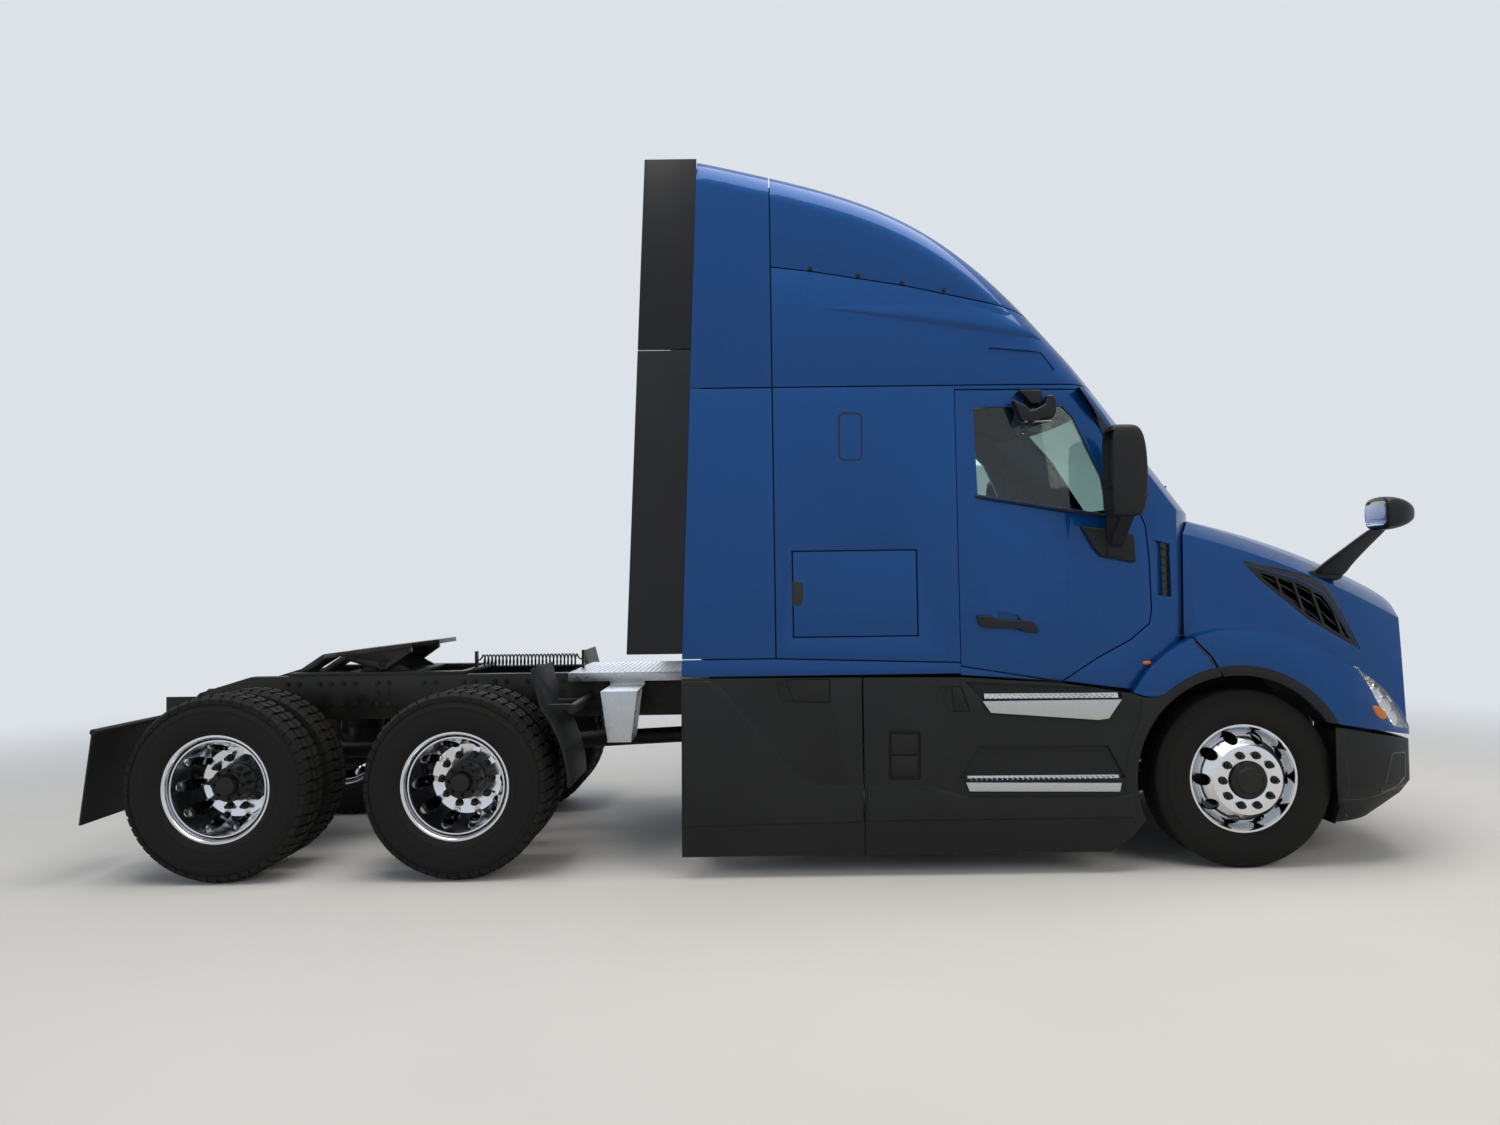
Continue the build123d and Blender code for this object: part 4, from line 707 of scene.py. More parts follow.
def nut_ring(name, count, circle, base, size, stud, material):
    # A hexagon nut with a round flange and the stud's end, turned into a ring
    pieces = [rod("flange", (circle, base, 0), (circle, base + 0.006, 0), size * 1.2, 20),
              rod("nut", (circle, base + 0.005, 0), (circle, base + 0.028, 0), size, 6),
              rod("stud", (circle, base + 0.027, 0), (circle, base + stud, 0), size * 0.6, 14)]
    return soft_edges(ring_of(joined(name, pieces), count, (0, 0, 0), material), 35)


front_disc = forged_wheel("front_disc", FRONT_DISC, 0.236)
rear_disc = forged_wheel("rear_disc", REAR_DISC, 0.222)
print("wheel faces", len(front_disc.data.polygons), len(rear_disc.data.polygons))

FRONT_HUB = [(0.0, -0.095), (0.190, -0.095), (0.190, -0.098), (0.2045, -0.098), (0.2045, 0.034), (0.112, 0.036),
             (0.110, 0.124), (0.164, 0.126), (0.164, 0.1495), (0.1035, 0.1495), (0.1025, 0.180), (0.098, 0.186),
             (0.086, 0.188), (0.078, 0.189), (0.072, 0.194), (0.066, 0.200), (0.0, 0.2005)]
REAR_HUB = [(0.0, -0.275), (0.190, -0.275), (0.190, -0.2800), (0.2045, -0.2800), (0.2045, -0.122),
            (0.112, -0.120), (0.110, -0.052), (0.164, -0.050), (0.164, -0.0250), (0.1035, -0.0250),
            (0.1030, 0.060), (0.098, 0.100), (0.096, 0.120), (0.0975, 0.122), (0.0975, 0.138), (0.080, 0.141),
            (0.062, 0.142), (0.058, 0.168), (0.050, 0.182), (0.036, 0.188), (0.0, 0.188)]
front_hub = soft_edges(turned("front_hub", FRONT_HUB, (0, 0, 0), 72), 30)
rear_hub = soft_edges(turned("rear_hub", REAR_HUB, (0, 0, 0), 72), 30)
front_nuts = nut_ring("front_nuts", HOLE_COUNT, STUD_CIRCLE, 0.1715, NUT_SIZE, 0.045, black_nuts)
rear_nuts = nut_ring("rear_nuts", HOLE_COUNT, STUD_CIRCLE, 0.0238, NUT_SIZE, 0.055, black_nuts)
flange_bolts = nut_ring("flange_bolts", 8, 0.080, 0.138, 0.010, 0.029, black_nuts)
turned_disc = copied(rear_disc, "turned_disc")
turned_disc.data.transform(Matrix.Rotation(math.pi, 4, "Z"))
for side, sign in SIDES:
    body = f"front_wheel_{side}"
    front_place = at(0, FRONT_TYRE_Y, FRONT_RADIUS)
    dress(copied(front_disc, f"steer_wheel_{side}", front_place, sign < 0), polished_aluminium, body,
          f"front_wheel_{side}")
    dress(copied(front_hub, f"steer_hub_{side}", front_place, sign < 0), chassis_paint, body)
    dress(copied(front_nuts, f"steer_nuts_{side}", front_place, sign < 0), black_nuts, body)
    for axle, station in DRIVE_AXLES:
        body = f"{axle}_wheels_{side}"
        middle = at(station, DUAL_Y, REAR_RADIUS)
        outer = copied(rear_disc, "outer", middle + Vector((0, DUAL_SPACING / 2, 0)), sign < 0)
        inner = copied(turned_disc, "inner", middle - Vector((0, DUAL_SPACING / 2, 0)), sign < 0)
        dress(joined(f"{axle}_discs_{side}", [outer, inner]), polished_aluminium, body, f"{axle}_wheels_{side}")
        dress(copied(rear_hub, f"{axle}_hub_{side}", middle, sign < 0), chassis_paint, body)
        nuts = joined(f"{axle}_nuts_{side}", [copied(rear_nuts, "a", middle, sign < 0),
                                              copied(flange_bolts, "b", middle, sign < 0)])
        dress(nuts, black_nuts, body)
for used in (front_disc, rear_disc, turned_disc, front_hub, rear_hub, front_nuts, rear_nuts, flange_bolts):
    bpy.data.objects.remove(used)

# %% [markdown]
# Construction solids have knife edges and loose triangles. Real pressed, cast and moulded pieces have
# small radii that catch light. So most solids are copied, welded, given a bevel and shown in place of
# the original, on the same body.

# %% Copies of solids with rounded edges


def crisp(node, material, body, width=0.0015, angle=30, name=None, flat=1.0):
    thing = bpy.data.objects.new(name or node + "_finished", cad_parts[node].data.copy())
    bpy.context.scene.collection.objects.link(thing)
    work = bmesh.new()
    work.from_mesh(thing.data)
    bmesh.ops.remove_doubles(work, verts=work.verts, dist=0.00002)
    bmesh.ops.dissolve_limit(work, angle_limit=math.radians(flat), verts=work.verts, edges=work.edges,
                             delimit={"NORMAL"})
    work.to_mesh(thing.data)
    work.free()
    if width:
        bevelled(thing, width, 2, angle)
    soft_edges(thing, 30)
    return dress(thing, material, body, node)


# %% [markdown]
# The mirrors are the largest shapes on the doors: a rounded black shell on a short arm, with a tall main
# glass and a small wide-angle one below it. A shell is a subdivision surface through a few square rings,
# which is how a moulded housing is drawn up too.

# %% Mirrors


def square_ring(centre, along, across, squash=0.72):
    # Eight points of a rounded rectangle in plan round a centre
    x, y, z = centre
    pts = [(along, squash * across), (squash * along, across), (-squash * along, across),
           (-along, squash * across), (-along, -squash * across), (-squash * along, -across),
           (squash * along, -across), (along, -squash * across)]
    return [Vector((x + a, y + b, z)) for a, b in pts]


def mirror_shell(name, station, y, levels, sign):
    rings = [square_ring(at(station + dx, sign * (y + dy), z), along, across, 0.85)
             for z, along, across, dx, dy in levels]
    return rounded_form(name, rings, 2)


HEAD_LEVELS = ((1.944, 0.066, 0.070, -0.018, 0.0), (1.962, 0.088, 0.092, -0.012, 0.0),
               (2.040, 0.098, 0.102, -0.002, 0.0), (2.200, 0.101, 0.104, 0.001, 0.0),
               (2.360, 0.096, 0.100, -0.004, 0.0), (2.424, 0.080, 0.086, -0.015, 0.0),
               (2.440, 0.052, 0.060, -0.026, 0.0))
for side, sign in SIDES:
    door = f"door_{side}"
    shell = mirror_shell("shell", -0.716, 1.425, HEAD_LEVELS, sign)
    cut(shell, block("cutter", at(-0.810, sign * 1.425, 2.190), (0.090, 0.168, 0.430)))
    arm = bevelled(side_slab("arm", [(-0.745, 1.740), (-0.745, 1.985), (-0.665, 1.985), (-0.660, 1.740)],
                             sign * 1.200, sign * 1.215), 0.004)
    stalk_rings = [square_ring(at(-0.700, sign * y, z), 0.042, 0.030)
                   for y, z in ((1.205, 1.790), (1.250, 1.840), (1.330, 1.905), (1.395, 1.955), (1.410, 1.990))]
    stalk = rounded_form("stalk", stalk_rings, 2)
    base_outline = [(-0.885, 1.915), (-0.724, 1.893), (-0.592, 1.862), (-0.582, 1.706), (-0.776, 1.742),
                    (-0.818, 1.790)]
    base = bevelled(side_slab("base", base_outline, sign * 1.160, sign * 1.203), 0.010, 3)
    housing = joined(f"door_mirror_{side}", [shell, arm, stalk, soft_edges(base, 40)])
    dress(housing, grained_plastic, door, f"door_fittings_{side}")
    glass_x = -0.766
    panes = []
    for low, high in ((2.115, 2.375), (1.985, 2.100)):
        pane = block("pane", at(glass_x, sign * 1.425, (low + high) / 2), (0.006, 0.160, high - low))
        panes.append(bevelled(pane, 0.0018, 2))
    dress(joined(f"mirror_glass_{side}", panes), mirror_silver, door)

# %% [markdown]
# Below the window runs a black moulding. The door opens by a black pull handle that bridges a scoop in the
# door's skin; its rear end carries the lock. On the passenger's side a look-down mirror hangs over the window.

# %% Door mouldings, handles and the look-down mirror
HANDLE = [(-1.482, 1.424), (-1.395, 1.418), (-1.358, 1.399), (-1.240, 1.396), (-1.164, 1.384), (-1.136, 1.330),
          (-1.151, 1.322), (-1.197, 1.326), (-1.275, 1.355), (-1.359, 1.351), (-1.435, 1.354), (-1.469, 1.368)]
SCOOP = [(-1.362, 1.449), (-1.244, 1.423), (-1.206, 1.331), (-1.294, 1.335), (-1.358, 1.347)]
for side, sign in SIDES:
    door = f"door_{side}"
    strip = side_slab("strip", [(-1.469, 2.095), (-1.469, 2.081), (-0.706, 1.955), (-0.706, 1.971)],
                      sign * 1.150, sign * 1.1965)
    strip = bevelled(strip, 0.004, 3)
    feet = [bevelled(side_slab("foot", [(x, z) for x, z in HANDLE if low < x < high], sign * 1.165, sign * 1.220),
                     0.003, 2) for low, high in ((-1.5, -1.39), (-1.2, -1.1))]
    pull = bevelled(side_slab("pull", HANDLE, sign * 1.209, sign * 1.2295), 0.005, 3)
    lock = rod("lock", at(-1.430, sign * 1.228, 1.392), at(-1.430, sign * 1.2315, 1.392), 0.010, 20)
    dress(soft_edges(joined(f"door_trim_{side}", [strip, pull, lock] + feet), 40), smooth_plastic, door)
LOOK_SHELL = [(-1.269, 2.615), (-1.194, 2.582), (-1.171, 2.554), (-1.143, 2.562), (-1.091, 2.589), (-1.082, 2.640),
              (-1.038, 2.640), (-1.029, 2.604), (-1.030, 2.540), (-1.040, 2.515), (-1.164, 2.491), (-1.224, 2.497)]
LOOK_BRACKET = [(-1.231, 2.672), (-1.105, 2.672), (-1.094, 2.637), (-1.107, 2.593), (-1.162, 2.593), (-1.197, 2.638)]
look_shell = bevelled(side_slab("shell", LOOK_SHELL, -1.190, -1.275), 0.014, 4, 25)
look_bracket = bevelled(side_slab("bracket", LOOK_BRACKET, -1.130, -1.248), 0.008, 3, 25)
dress(soft_edges(joined("look_down_mirror", [look_shell, look_bracket]), 40), smooth_plastic, "door_right")
look_glass = block("look_down_glass", at(-1.130, -1.232, 2.4945), (0.150, 0.060, 0.004))
look_glass.name = look_glass.data.name = "look_down_glass"
dress(bevelled(look_glass, 0.0015, 2), mirror_silver, "door_right")

# %% [markdown]
# The hood mirrors lean out and up on long arms from the hood's shoulders. The arm is an oval rod that
# swells where it meets its foot, and the small head is rounded at its edges.

# %% Hood mirrors


def face_ring(centre, half_width, half_height, squash=0.66):
    # Eight points of a rounded rectangle that faces along the truck
    x, y, z = centre
    pts = [(half_width, squash * half_height), (squash * half_width, half_height),
           (-squash * half_width, half_height), (-half_width, squash * half_height),
           (-half_width, -squash * half_height), (-squash * half_width, -half_height),
           (squash * half_width, -half_height), (half_width, -squash * half_height)]
    return [at(x, y + a, z + b) for a, b in pts]


ARM_PATH = [(0.637, 0.868, 1.605, 0.105, 0.052), (0.655, 0.925, 1.665, 0.092, 0.036), (0.700, 1.040, 1.752, 0.072, 0.026),
            (0.750, 1.130, 1.832, 0.056, 0.023), (0.795, 1.195, 1.895, 0.046, 0.022)]
HEAD_PATH = [(0.734, 0.112, 0.080, 1.958), (0.742, 0.128, 0.094, 1.958), (0.790, 0.130, 0.094, 1.958),
             (0.850, 0.116, 0.080, 1.958), (0.900, 0.080, 0.052, 1.957), (0.925, 0.046, 0.028, 1.956)]
for side, sign in SIDES:
    rings = [square_ring(at(x, sign * y, z), w, t) for x, y, z, w, t in ARM_PATH]
    arm = rounded_form("arm", rings, 2)
    head = rounded_form("head", [face_ring((x, sign * 1.240, z), w, t) for x, w, t, z in HEAD_PATH], 2)
    foot = rounded_form("foot", [square_ring(at(0.610 + shift, sign * y, z), w, t) for shift, y, z, w, t in (
        (0.0, 0.850, 1.585, 0.135, 0.060), (0.0, 0.872, 1.630, 0.128, 0.058), (0.01, 0.890, 1.662, 0.100, 0.044))], 2)
    dress(joined(f"hood_mirror_{side}", [arm, head, foot]), smooth_plastic, "hood",
          *(("hood_mirrors",) if side == "right" else ()))
    rims = [[at(x, sign * 1.240 + a, 1.958 + b) for a, b in rounded([(-0.094, -0.066), (0.094, -0.066),
                                                                     (0.094, 0.066), (-0.094, 0.066)], 0.026)]
            for x in (0.7315, 0.7395)]
    pane = rounded_form(f"hood_mirror_glass_{side}", rims, 0)
    dress(pane, mirror_silver, "hood")

# %% [markdown]
# Two aluminium steps climb to each door, and a plate bridges the rails behind the cab with a hung step on
# each side. Their treads are pressed with a pattern of raised lozenges or punched with round holes; the
# second tree sets each lozenge or dimple at its point.

# %% Steps and deck
crisp("deck_and_steps", mill_aluminium, "chassis", 0.002)


def lozenge(length, width, height, turn):
    thing = mesh_object("lozenge", [(-length, 0, 0), (0, -width, 0), (length, 0, 0), (0, width, 0),
                                    (-length * 0.5, 0, height), (length * 0.5, 0, height)],
                        [(0, 1, 5, 4), (1, 2, 5), (0, 4, 3), (4, 5, 2, 3)])
    thing.data.transform(Matrix.Rotation(turn, 4, "Z"))
    return thing


DECK_TOP = 1.0866
TREAD_PITCH = 0.030
for turn, shift, label in ((math.pi / 4, 0.0, "one"), (-math.pi / 4, 0.5, "two")):
    points = []
    for i in range(27):
        for j in range(33):
            if (i + j) % 2 == (0 if shift else 1):
                points.append(at(-3.845 + 0.032 * i, (j - 16) * TREAD_PITCH, DECK_TOP - 0.0003))
    dress(at_points(f"deck_lozenges_{label}", lozenge(0.011, 0.0035, 0.0015, turn), points, mill_aluminium),
          mill_aluminium, "chassis")
punched = []
for sign in (-1, 1):
    for i in range(24):
        for j in range(4):
            punched.append(at(-1.430 + 0.030 * i, sign * (1.140 + 0.026 * j), 0.9532))
            punched.append(at(-1.520 + 0.033 * i, sign * (1.140 + 0.026 * j), 0.5105 - 0.0006 * i))
dimple = rod("dimple", (0, 0, -0.002), (0, 0, 0.0008), 0.009, 12, 0.006)
dress(at_points("step_dimples", dimple, punched, mill_aluminium), mill_aluminium, "chassis")

# %% [markdown]
# The fifth wheel is a cast plate, bright with wear and grease on top, on pivots over the rails. Its base
# and the rails are black. Rows of bolt heads show where brackets and cross members are fixed.

# %% Fifth wheel and frame
crisp("fifth_wheel_plate", greased_steel, "fifth_wheel_plate", 0.003)
crisp("fifth_wheel_base", cast_steel, "chassis", 0.002)
crisp("frame", chassis_paint, "chassis", 0.002)
crisp("axles", cast_steel, "chassis", 0.003)
crisp("suspension", chassis_paint, "chassis", 0.003)
crisp("powertrain", cast_steel, "chassis", 0.004)
crisp("fuel_tanks", mill_aluminium, "chassis", 0.006)
crisp("tie_rod", cast_steel, "tie_rod", 0.002)
for side, sign in SIDES:
    crisp(f"knuckle_{side}", cast_steel, f"knuckle_{side}", 0.003)

RAIL_FACE = 0.432
bolt_points = []
for sign in (-1, 1):
    for station, rows in ((-6.15, 3), (-5.60, 2), (-5.40, 2), (-5.25, 2), (-5.04, 3), (-4.75, 2), (-4.50, 2),
                          (-4.30, 2), (-4.10, 2), (-3.95, 3), (-3.70, 3), (-3.35, 2), (-3.20, 2)):
        for row in range(rows):
            for step in (-0.035, 0.035):
                height = 0.905 + row * (0.13 if rows == 2 else 0.065)
                if station < -5.9:
                    height = 0.905 + row * 0.03
                bolt_points.append(at(station + step, sign * RAIL_FACE, height))
bolt_head = joined("bolt", [rod("washer", (0, -0.004, 0), (0, 0.004, 0), 0.016, 14),
                            rod("head", (0, -0.012, 0), (0, 0.012, 0), 0.011, 6)])
dress(soft_edges(at_points("frame_bolts", bolt_head, bolt_points, black_nuts)), black_nuts, "chassis")

# %% [markdown]
# Air springs carry the drive axles. Each is a rubber bellows between two plates, so its outline swells
# between the beads. A lathe profile spun upright makes it.

# %% Air springs


def upright(name, profile, centre, steps=48):
    thing = turned(name, profile, (0, 0, 0), steps)
    thing.data.transform(Matrix.Rotation(math.pi / 2, 4, "X"))
    thing.data.transform(Matrix.Translation(Vector(centre)))
    return thing


BELLOWS = [(0.0, -0.135), (0.085, -0.135), (0.090, -0.120), (0.088, -0.060), (0.095, -0.040), (0.1195, -0.010),
           (0.1210, 0.030), (0.1205, 0.080), (0.112, 0.105), (0.095, 0.120), (0.108, 0.124), (0.108, 0.134),
           (0.0, 0.134)]
bags = []
for sign in (-1, 1):
    for axle, station in DRIVE_AXLES:
        bag = upright("bag", BELLOWS, at(station + 0.26, sign * 0.392, 0.665))
        bags.append(soft_edges(bag, 40))
dress(joined("air_springs", bags), tyre_rubber, "chassis")

# %% [markdown]
# Coiled air and power lines hang between the deck and the fifth wheel. Each line is one long nylon tube
# wound as a helix, so it is drawn as a curve whose control points go round the coil, sixteen to a turn.

# %% Coiled lines
COIL_RADIUS = 0.0355
LINE_DIAMETER = 0.011
COIL_TURNS = 26
COIL_START, COIL_END = -4.536, -3.854
COIL_Y, COIL_Z = -0.060, 1.145


def coil_line(name):
    points = [at(COIL_START, COIL_Y, COIL_Z), at(COIL_START + 0.016, COIL_Y, COIL_Z)]
    count = COIL_TURNS * 16
    for i in range(count + 1):
        share = i / count
        angle = 2 * math.pi * COIL_TURNS * share
        station = COIL_START + 0.030 + (COIL_END - COIL_START - 0.060) * share
        points.append(at(station, COIL_Y + COIL_RADIUS * math.sin(angle), COIL_Z + COIL_RADIUS * math.cos(angle)))
    points += [at(COIL_END - 0.016, COIL_Y, COIL_Z), at(COIL_END, COIL_Y, COIL_Z)]
    data = bpy.data.curves.new(name, "CURVE")
    data.dimensions = "3D"
    data.bevel_depth = LINE_DIAMETER / 2
    data.bevel_resolution = 2
    data.resolution_u = 2
    spline = data.splines.new("NURBS")
    spline.points.add(len(points) - 1)
    for target, point in zip(spline.points, points):
        target.co = (*point, 1)
    spline.order_u = 3
    spline.use_endpoint_u = True
    thing = bpy.data.objects.new(name, data)
    bpy.context.scene.collection.objects.link(thing)
    length = sum((b - a).length for a, b in zip(points, points[1:]))
    return thing, length


air_line, line_length = coil_line("coiled_air_line")
print("coiled line", round(line_length, 2), "m")
dress(air_line, hose_black, "chassis", "coil_hose")
tuple(at(COIL_START, COIL_Y, COIL_Z))

# %% [markdown]
# Mud flaps and the quarter fenders ahead of the drive wheels are moulded rubber and plastic. Their
# faces are plain here. Lamps at the tail are round red lenses in black rims.

# %% Fenders, flaps and tail lamps
crisp("rear_fenders", grained_plastic, "chassis", 0.003)
crisp("tail_lamps", red_lens, "chassis", 0.004)
rims = [turned("rim", [(0.050, -0.012), (0.056, -0.012), (0.056, 0.010), (0.050, 0.014)], (0, 0, 0), 40)
        for _ in range(4)]
for ring, y in zip(rims, (-0.280, -0.165, 0.165, 0.280)):
    ring.data.transform(Matrix.Rotation(math.pi / 2, 4, "Z"))
    ring.data.transform(Matrix.Translation(at(-6.193, y, 0.945)))
dress(soft_edges(joined("tail_lamp_rims", rims)), smooth_plastic, "chassis")

# %% [markdown]
# The painted body is made of large, gently crowned panels with narrow gaps between them. The solids carry
# those shapes, so here their edges are rolled over by two millimetres and they get the blue finish.

# %% Painted panels and black body parts
crisp("sleeper_panels", blue_paint, "chassis", 0.002, 40, flat=0.2)
roof = crisp("roof_panels", blue_paint, "chassis", 0.002, 40, flat=0.2)
cab = crisp("cab_panels", blue_paint, "chassis", 0.002, 40, flat=0.2)
crisp("hood", blue_paint, "hood", 0.002, 40, flat=0.2)
for side, sign in SIDES:
    door_copy = crisp(f"door_{side}", blue_paint, f"door_{side}", 0.002, 40, flat=0.2)
    cut(door_copy, side_slab("cutter", SCOOP, sign * 1.30, sign * 1.178))
    soft_edges(door_copy, 30)
    crisp(f"luggage_door_{side}", blue_paint, f"luggage_door_{side}", 0.002, 40, flat=0.2)
    crisp(f"door_glass_{side}", tinted_glass, f"door_{side}", 0.0, flat=0.2)
crisp("extenders", smooth_plastic, "chassis", 0.003, 40, flat=0.2)
crisp("bumper", grained_plastic, "chassis", 0.004, 40, flat=0.5)
skirts = crisp("skirts", grained_plastic, "chassis", 0.004)
crisp("hood_trim", smooth_plastic, "hood", 0.0015, 40, flat=0.5)
crisp("windscreen", windscreen_glass, "chassis", 0.0, flat=0.2)
crisp("headlamps", clear_lens, "hood", 0.0, flat=0.2)
crisp("cabin_lining", cabin_plastic, "chassis", 0.0)
crisp("inner_ribs", cabin_dark, "chassis", 0.0)
crisp("steering_wheel", cabin_dark, "steering_wheel", 0.0)

# %% [markdown]
# Trim, lamps and mouldings lie on curved skin. To place them, a ray is sent from outside at a station and
# height; where it meets the solid panel it gives the point and the way the skin faces there. Strips and
# patches built from such points follow the body closely, as real mouldings do.

# %% Helpers that lay pieces on the skin
from mathutils.bvhtree import BVHTree


def skin_of(*nodes):
    verts, faces = [], []
    for node in nodes:
        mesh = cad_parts[node].data
        start = len(verts)
        verts += [v.co.copy() for v in mesh.vertices]
        faces += [[start + i for i in face.vertices] for face in mesh.polygons]
    return BVHTree.FromPolygons(verts, faces)


def beside(tree, sign):
    # A function from station and height to the point and normal on one flank
    def touch(station, z):
        point, normal, _, _ = tree.ray_cast(at(station, sign * 3.0, z), Vector((0, -sign, 0)))
        return (at(station, sign * 1.22, z), Vector((0, sign, 0))) if point is None else (point, normal)
    return touch


def ahead(tree):
    # The same, looking back at the nose or windscreen; its first number is the width
    def touch(y, z):
        point, normal, _, _ = tree.ray_cast(Vector((6.0, y, z)), Vector((-1, 0, 0)))
        return point, normal
    return touch


def draped_strip(name, touch, path, profile, scales=None, closed=False):
    # A band along a path. Its profile is a list of steps across the path and out from the skin
    count, rows = len(path), len(profile)
    verts = []
    for i, (x, z) in enumerate(path):
        x0, z0 = path[i - 1] if i or closed else path[0]
        x1, z1 = path[(i + 1) % count] if i < count - 1 or closed else path[-1]
        size = math.hypot(x1 - x0, z1 - z0)
        across = ((z0 - z1) / size, (x1 - x0) / size)
        share = scales[i] if scales else 1.0
        for step, proud in profile:
            point, normal = touch(x + across[0] * step * share, z + across[1] * step * share)
            verts.append(point + normal * proud * share)
    faces = []
    for i in range(count if closed else count - 1):
        j = (i + 1) % count
        for k in range(rows - 1):
            faces.append((i * rows + k, j * rows + k, j * rows + k + 1, i * rows + k + 1))
    return soft_edges(clean(mesh_object(name, verts, faces)), 40)


def draped_patch(name, touch, corners, proud, columns=8, lines=8, sunk=0.004):
    # A four-cornered patch, lifted off the skin in the middle and sunk into it round its rim
    verts = []
    (ax, az), (bx, bz), (cx, cz), (dx, dz) = corners
    for i in range(columns + 1):
        u = i / columns
        for j in range(lines + 1):
            v = j / lines
            x = (ax * (1 - u) + bx * u) * (1 - v) + (dx * (1 - u) + cx * u) * v
            z = (az * (1 - u) + bz * u) * (1 - v) + (dz * (1 - u) + cz * u) * v
            point, normal = touch(x, z)
            rim = i in (0, columns) or j in (0, lines)
            verts.append(point + normal * (-sunk if rim else proud))
    faces = [(i * (lines + 1) + j, (i + 1) * (lines + 1) + j, (i + 1) * (lines + 1) + j + 1, i * (lines + 1) + j + 1)
             for i in range(columns) for j in range(lines)]
    return soft_edges(clean(mesh_object(name, verts, faces)), 30)


def fine_path(points, pitch=0.06):
    # More points on the straight runs, so that a strip follows the crown of the skin
    path = []
    for (x0, z0), (x1, z1) in zip(points, points[1:]):
        count = max(1, round(math.hypot(x1 - x0, z1 - z0) / pitch))
        path += [(x0 + (x1 - x0) * i / count, z0 + (z1 - z0) * i / count) for i in range(count)]
    return path + [points[-1]]


def loop_path(points, pitch=0.06):
    return fine_path(list(points) + [points[0]], pitch)[:-1]


# Steps across, outwards of the path's left side positive, and out from the skin
LIP = [(-0.006, -0.003), (-0.0045, 0.0022), (0.0, 0.0034), (0.0045, 0.0022), (0.006, -0.003)]
SEAM = [(-0.0030, -0.001), (-0.0022, 0.0006), (0.0022, 0.0006), (0.0030, -0.001)]
body_skin = skin_of("sleeper_panels", "roof_panels", "cab_panels", "door_right", "door_left")
roof_skin = skin_of("roof_panels")
hood_skin = skin_of("hood", "hood_trim", "headlamps")
bumper_skin = skin_of("bumper")

# %% [markdown]
# The roof's flank has a ledge that grows towards the windscreen, a shallow panel let into it, and a row of
# bolts along the cap's seam. A row of amber marker lamps stands over the windscreen.

# %% Roof details
LEDGE = [(-2.30, 3.165), (-2.10, 3.140), (-1.87, 3.109), (-1.70, 3.085), (-1.527, 3.059), (-1.38, 3.037),
         (-1.245, 3.015), (-1.15, 2.998), (-1.065, 2.982)]
LEDGE_SHARES = [0.05, 0.35, 0.65, 0.85, 1.0, 1.0, 1.0, 0.8, 0.15]
LEDGE_PROFILE = [(0.120, -0.001), (0.100, 0.003), (0.070, 0.010), (0.030, 0.018), (0.008, 0.020), (0.0, 0.016),
                 (-0.010, 0.005), (-0.022, -0.001)]
RECESS = rounded([(-1.400, 2.935), (-1.075, 2.905), (-0.985, 2.785), (-1.290, 2.788)], 0.018)
for side, sign in SIDES:
    touch = beside(roof_skin, sign)
    ledge = draped_strip("ledge", touch, LEDGE, LEDGE_PROFILE, LEDGE_SHARES)
    dress(ledge, blue_paint, "chassis")
    ledge.name = ledge.data.name = f"roof_ledge_{side}"
    first, second, third = (touch(x, z)[0] for x, z in ((-1.34, 2.915), (-1.04, 2.815), (-1.27, 2.805)))
    lean = (second - first).cross(third - first)
    recess = side_slab("cutter", RECESS, sign * 1.40, sign * 1.00)
    for vertex in recess.data.vertices:
        if abs(vertex.co.y) < 1.2:
            flat = Vector((vertex.co.x, 0, vertex.co.z))
            vertex.co.y = lean.dot(first - flat) / lean.y - sign * 0.016
    cut(roof, recess)
    heads = []
    for station, z in ((-2.372, 3.392), (-2.102, 3.349), (-1.854, 3.303), (-1.618, 3.260)):
        point, normal = touch(station, z)
        heads.append(rod("washer", point - normal * 0.002, point + normal * 0.003, 0.013, 16))
        heads.append(rod("head", point, point + normal * 0.009, 0.0085, 6))
    dress(soft_edges(joined(f"cap_bolts_{side}", heads)), black_nuts, "chassis")
soft_edges(roof, 30)
roof_front = ahead(roof_skin)
lamps, feet = [], []
for y in (-0.66, -0.33, 0.0, 0.33, 0.66):
    point, normal = roof_front(y, 2.845)
    across = normal.cross(Vector((0, 0, 1))).normalized()
    up = across.cross(normal)
    for store, reach, tall, rise in ((feet, 0.070, 0.026, 0.010), (lamps, 0.058, 0.018, 0.030)):
        rings = [[point + across * a * reach * k + up * b * tall * k + normal * out
                  for a, b in ((1, 0.6), (0.6, 1), (-0.6, 1), (-1, 0.6), (-1, -0.6), (-0.6, -1), (0.6, -1), (1, -0.6))]
                 for k, out in ((1.0, -0.006), (1.0, rise * 0.5), (0.8, rise))]
        store.append(rounded_form("form", rings, 1))
dress(joined("marker_lamp_feet", feet), gloss_plastic, "chassis")
dress(joined("marker_lamps", lamps), amber_lens, "chassis")

# %% [markdown]
# The sleeper's side has a small hatch with a black rim. The luggage door opens by a black paddle. Between door
# and hood the cowl has a tall slot that lets air out, black inside, and a black strip covers the pillar.

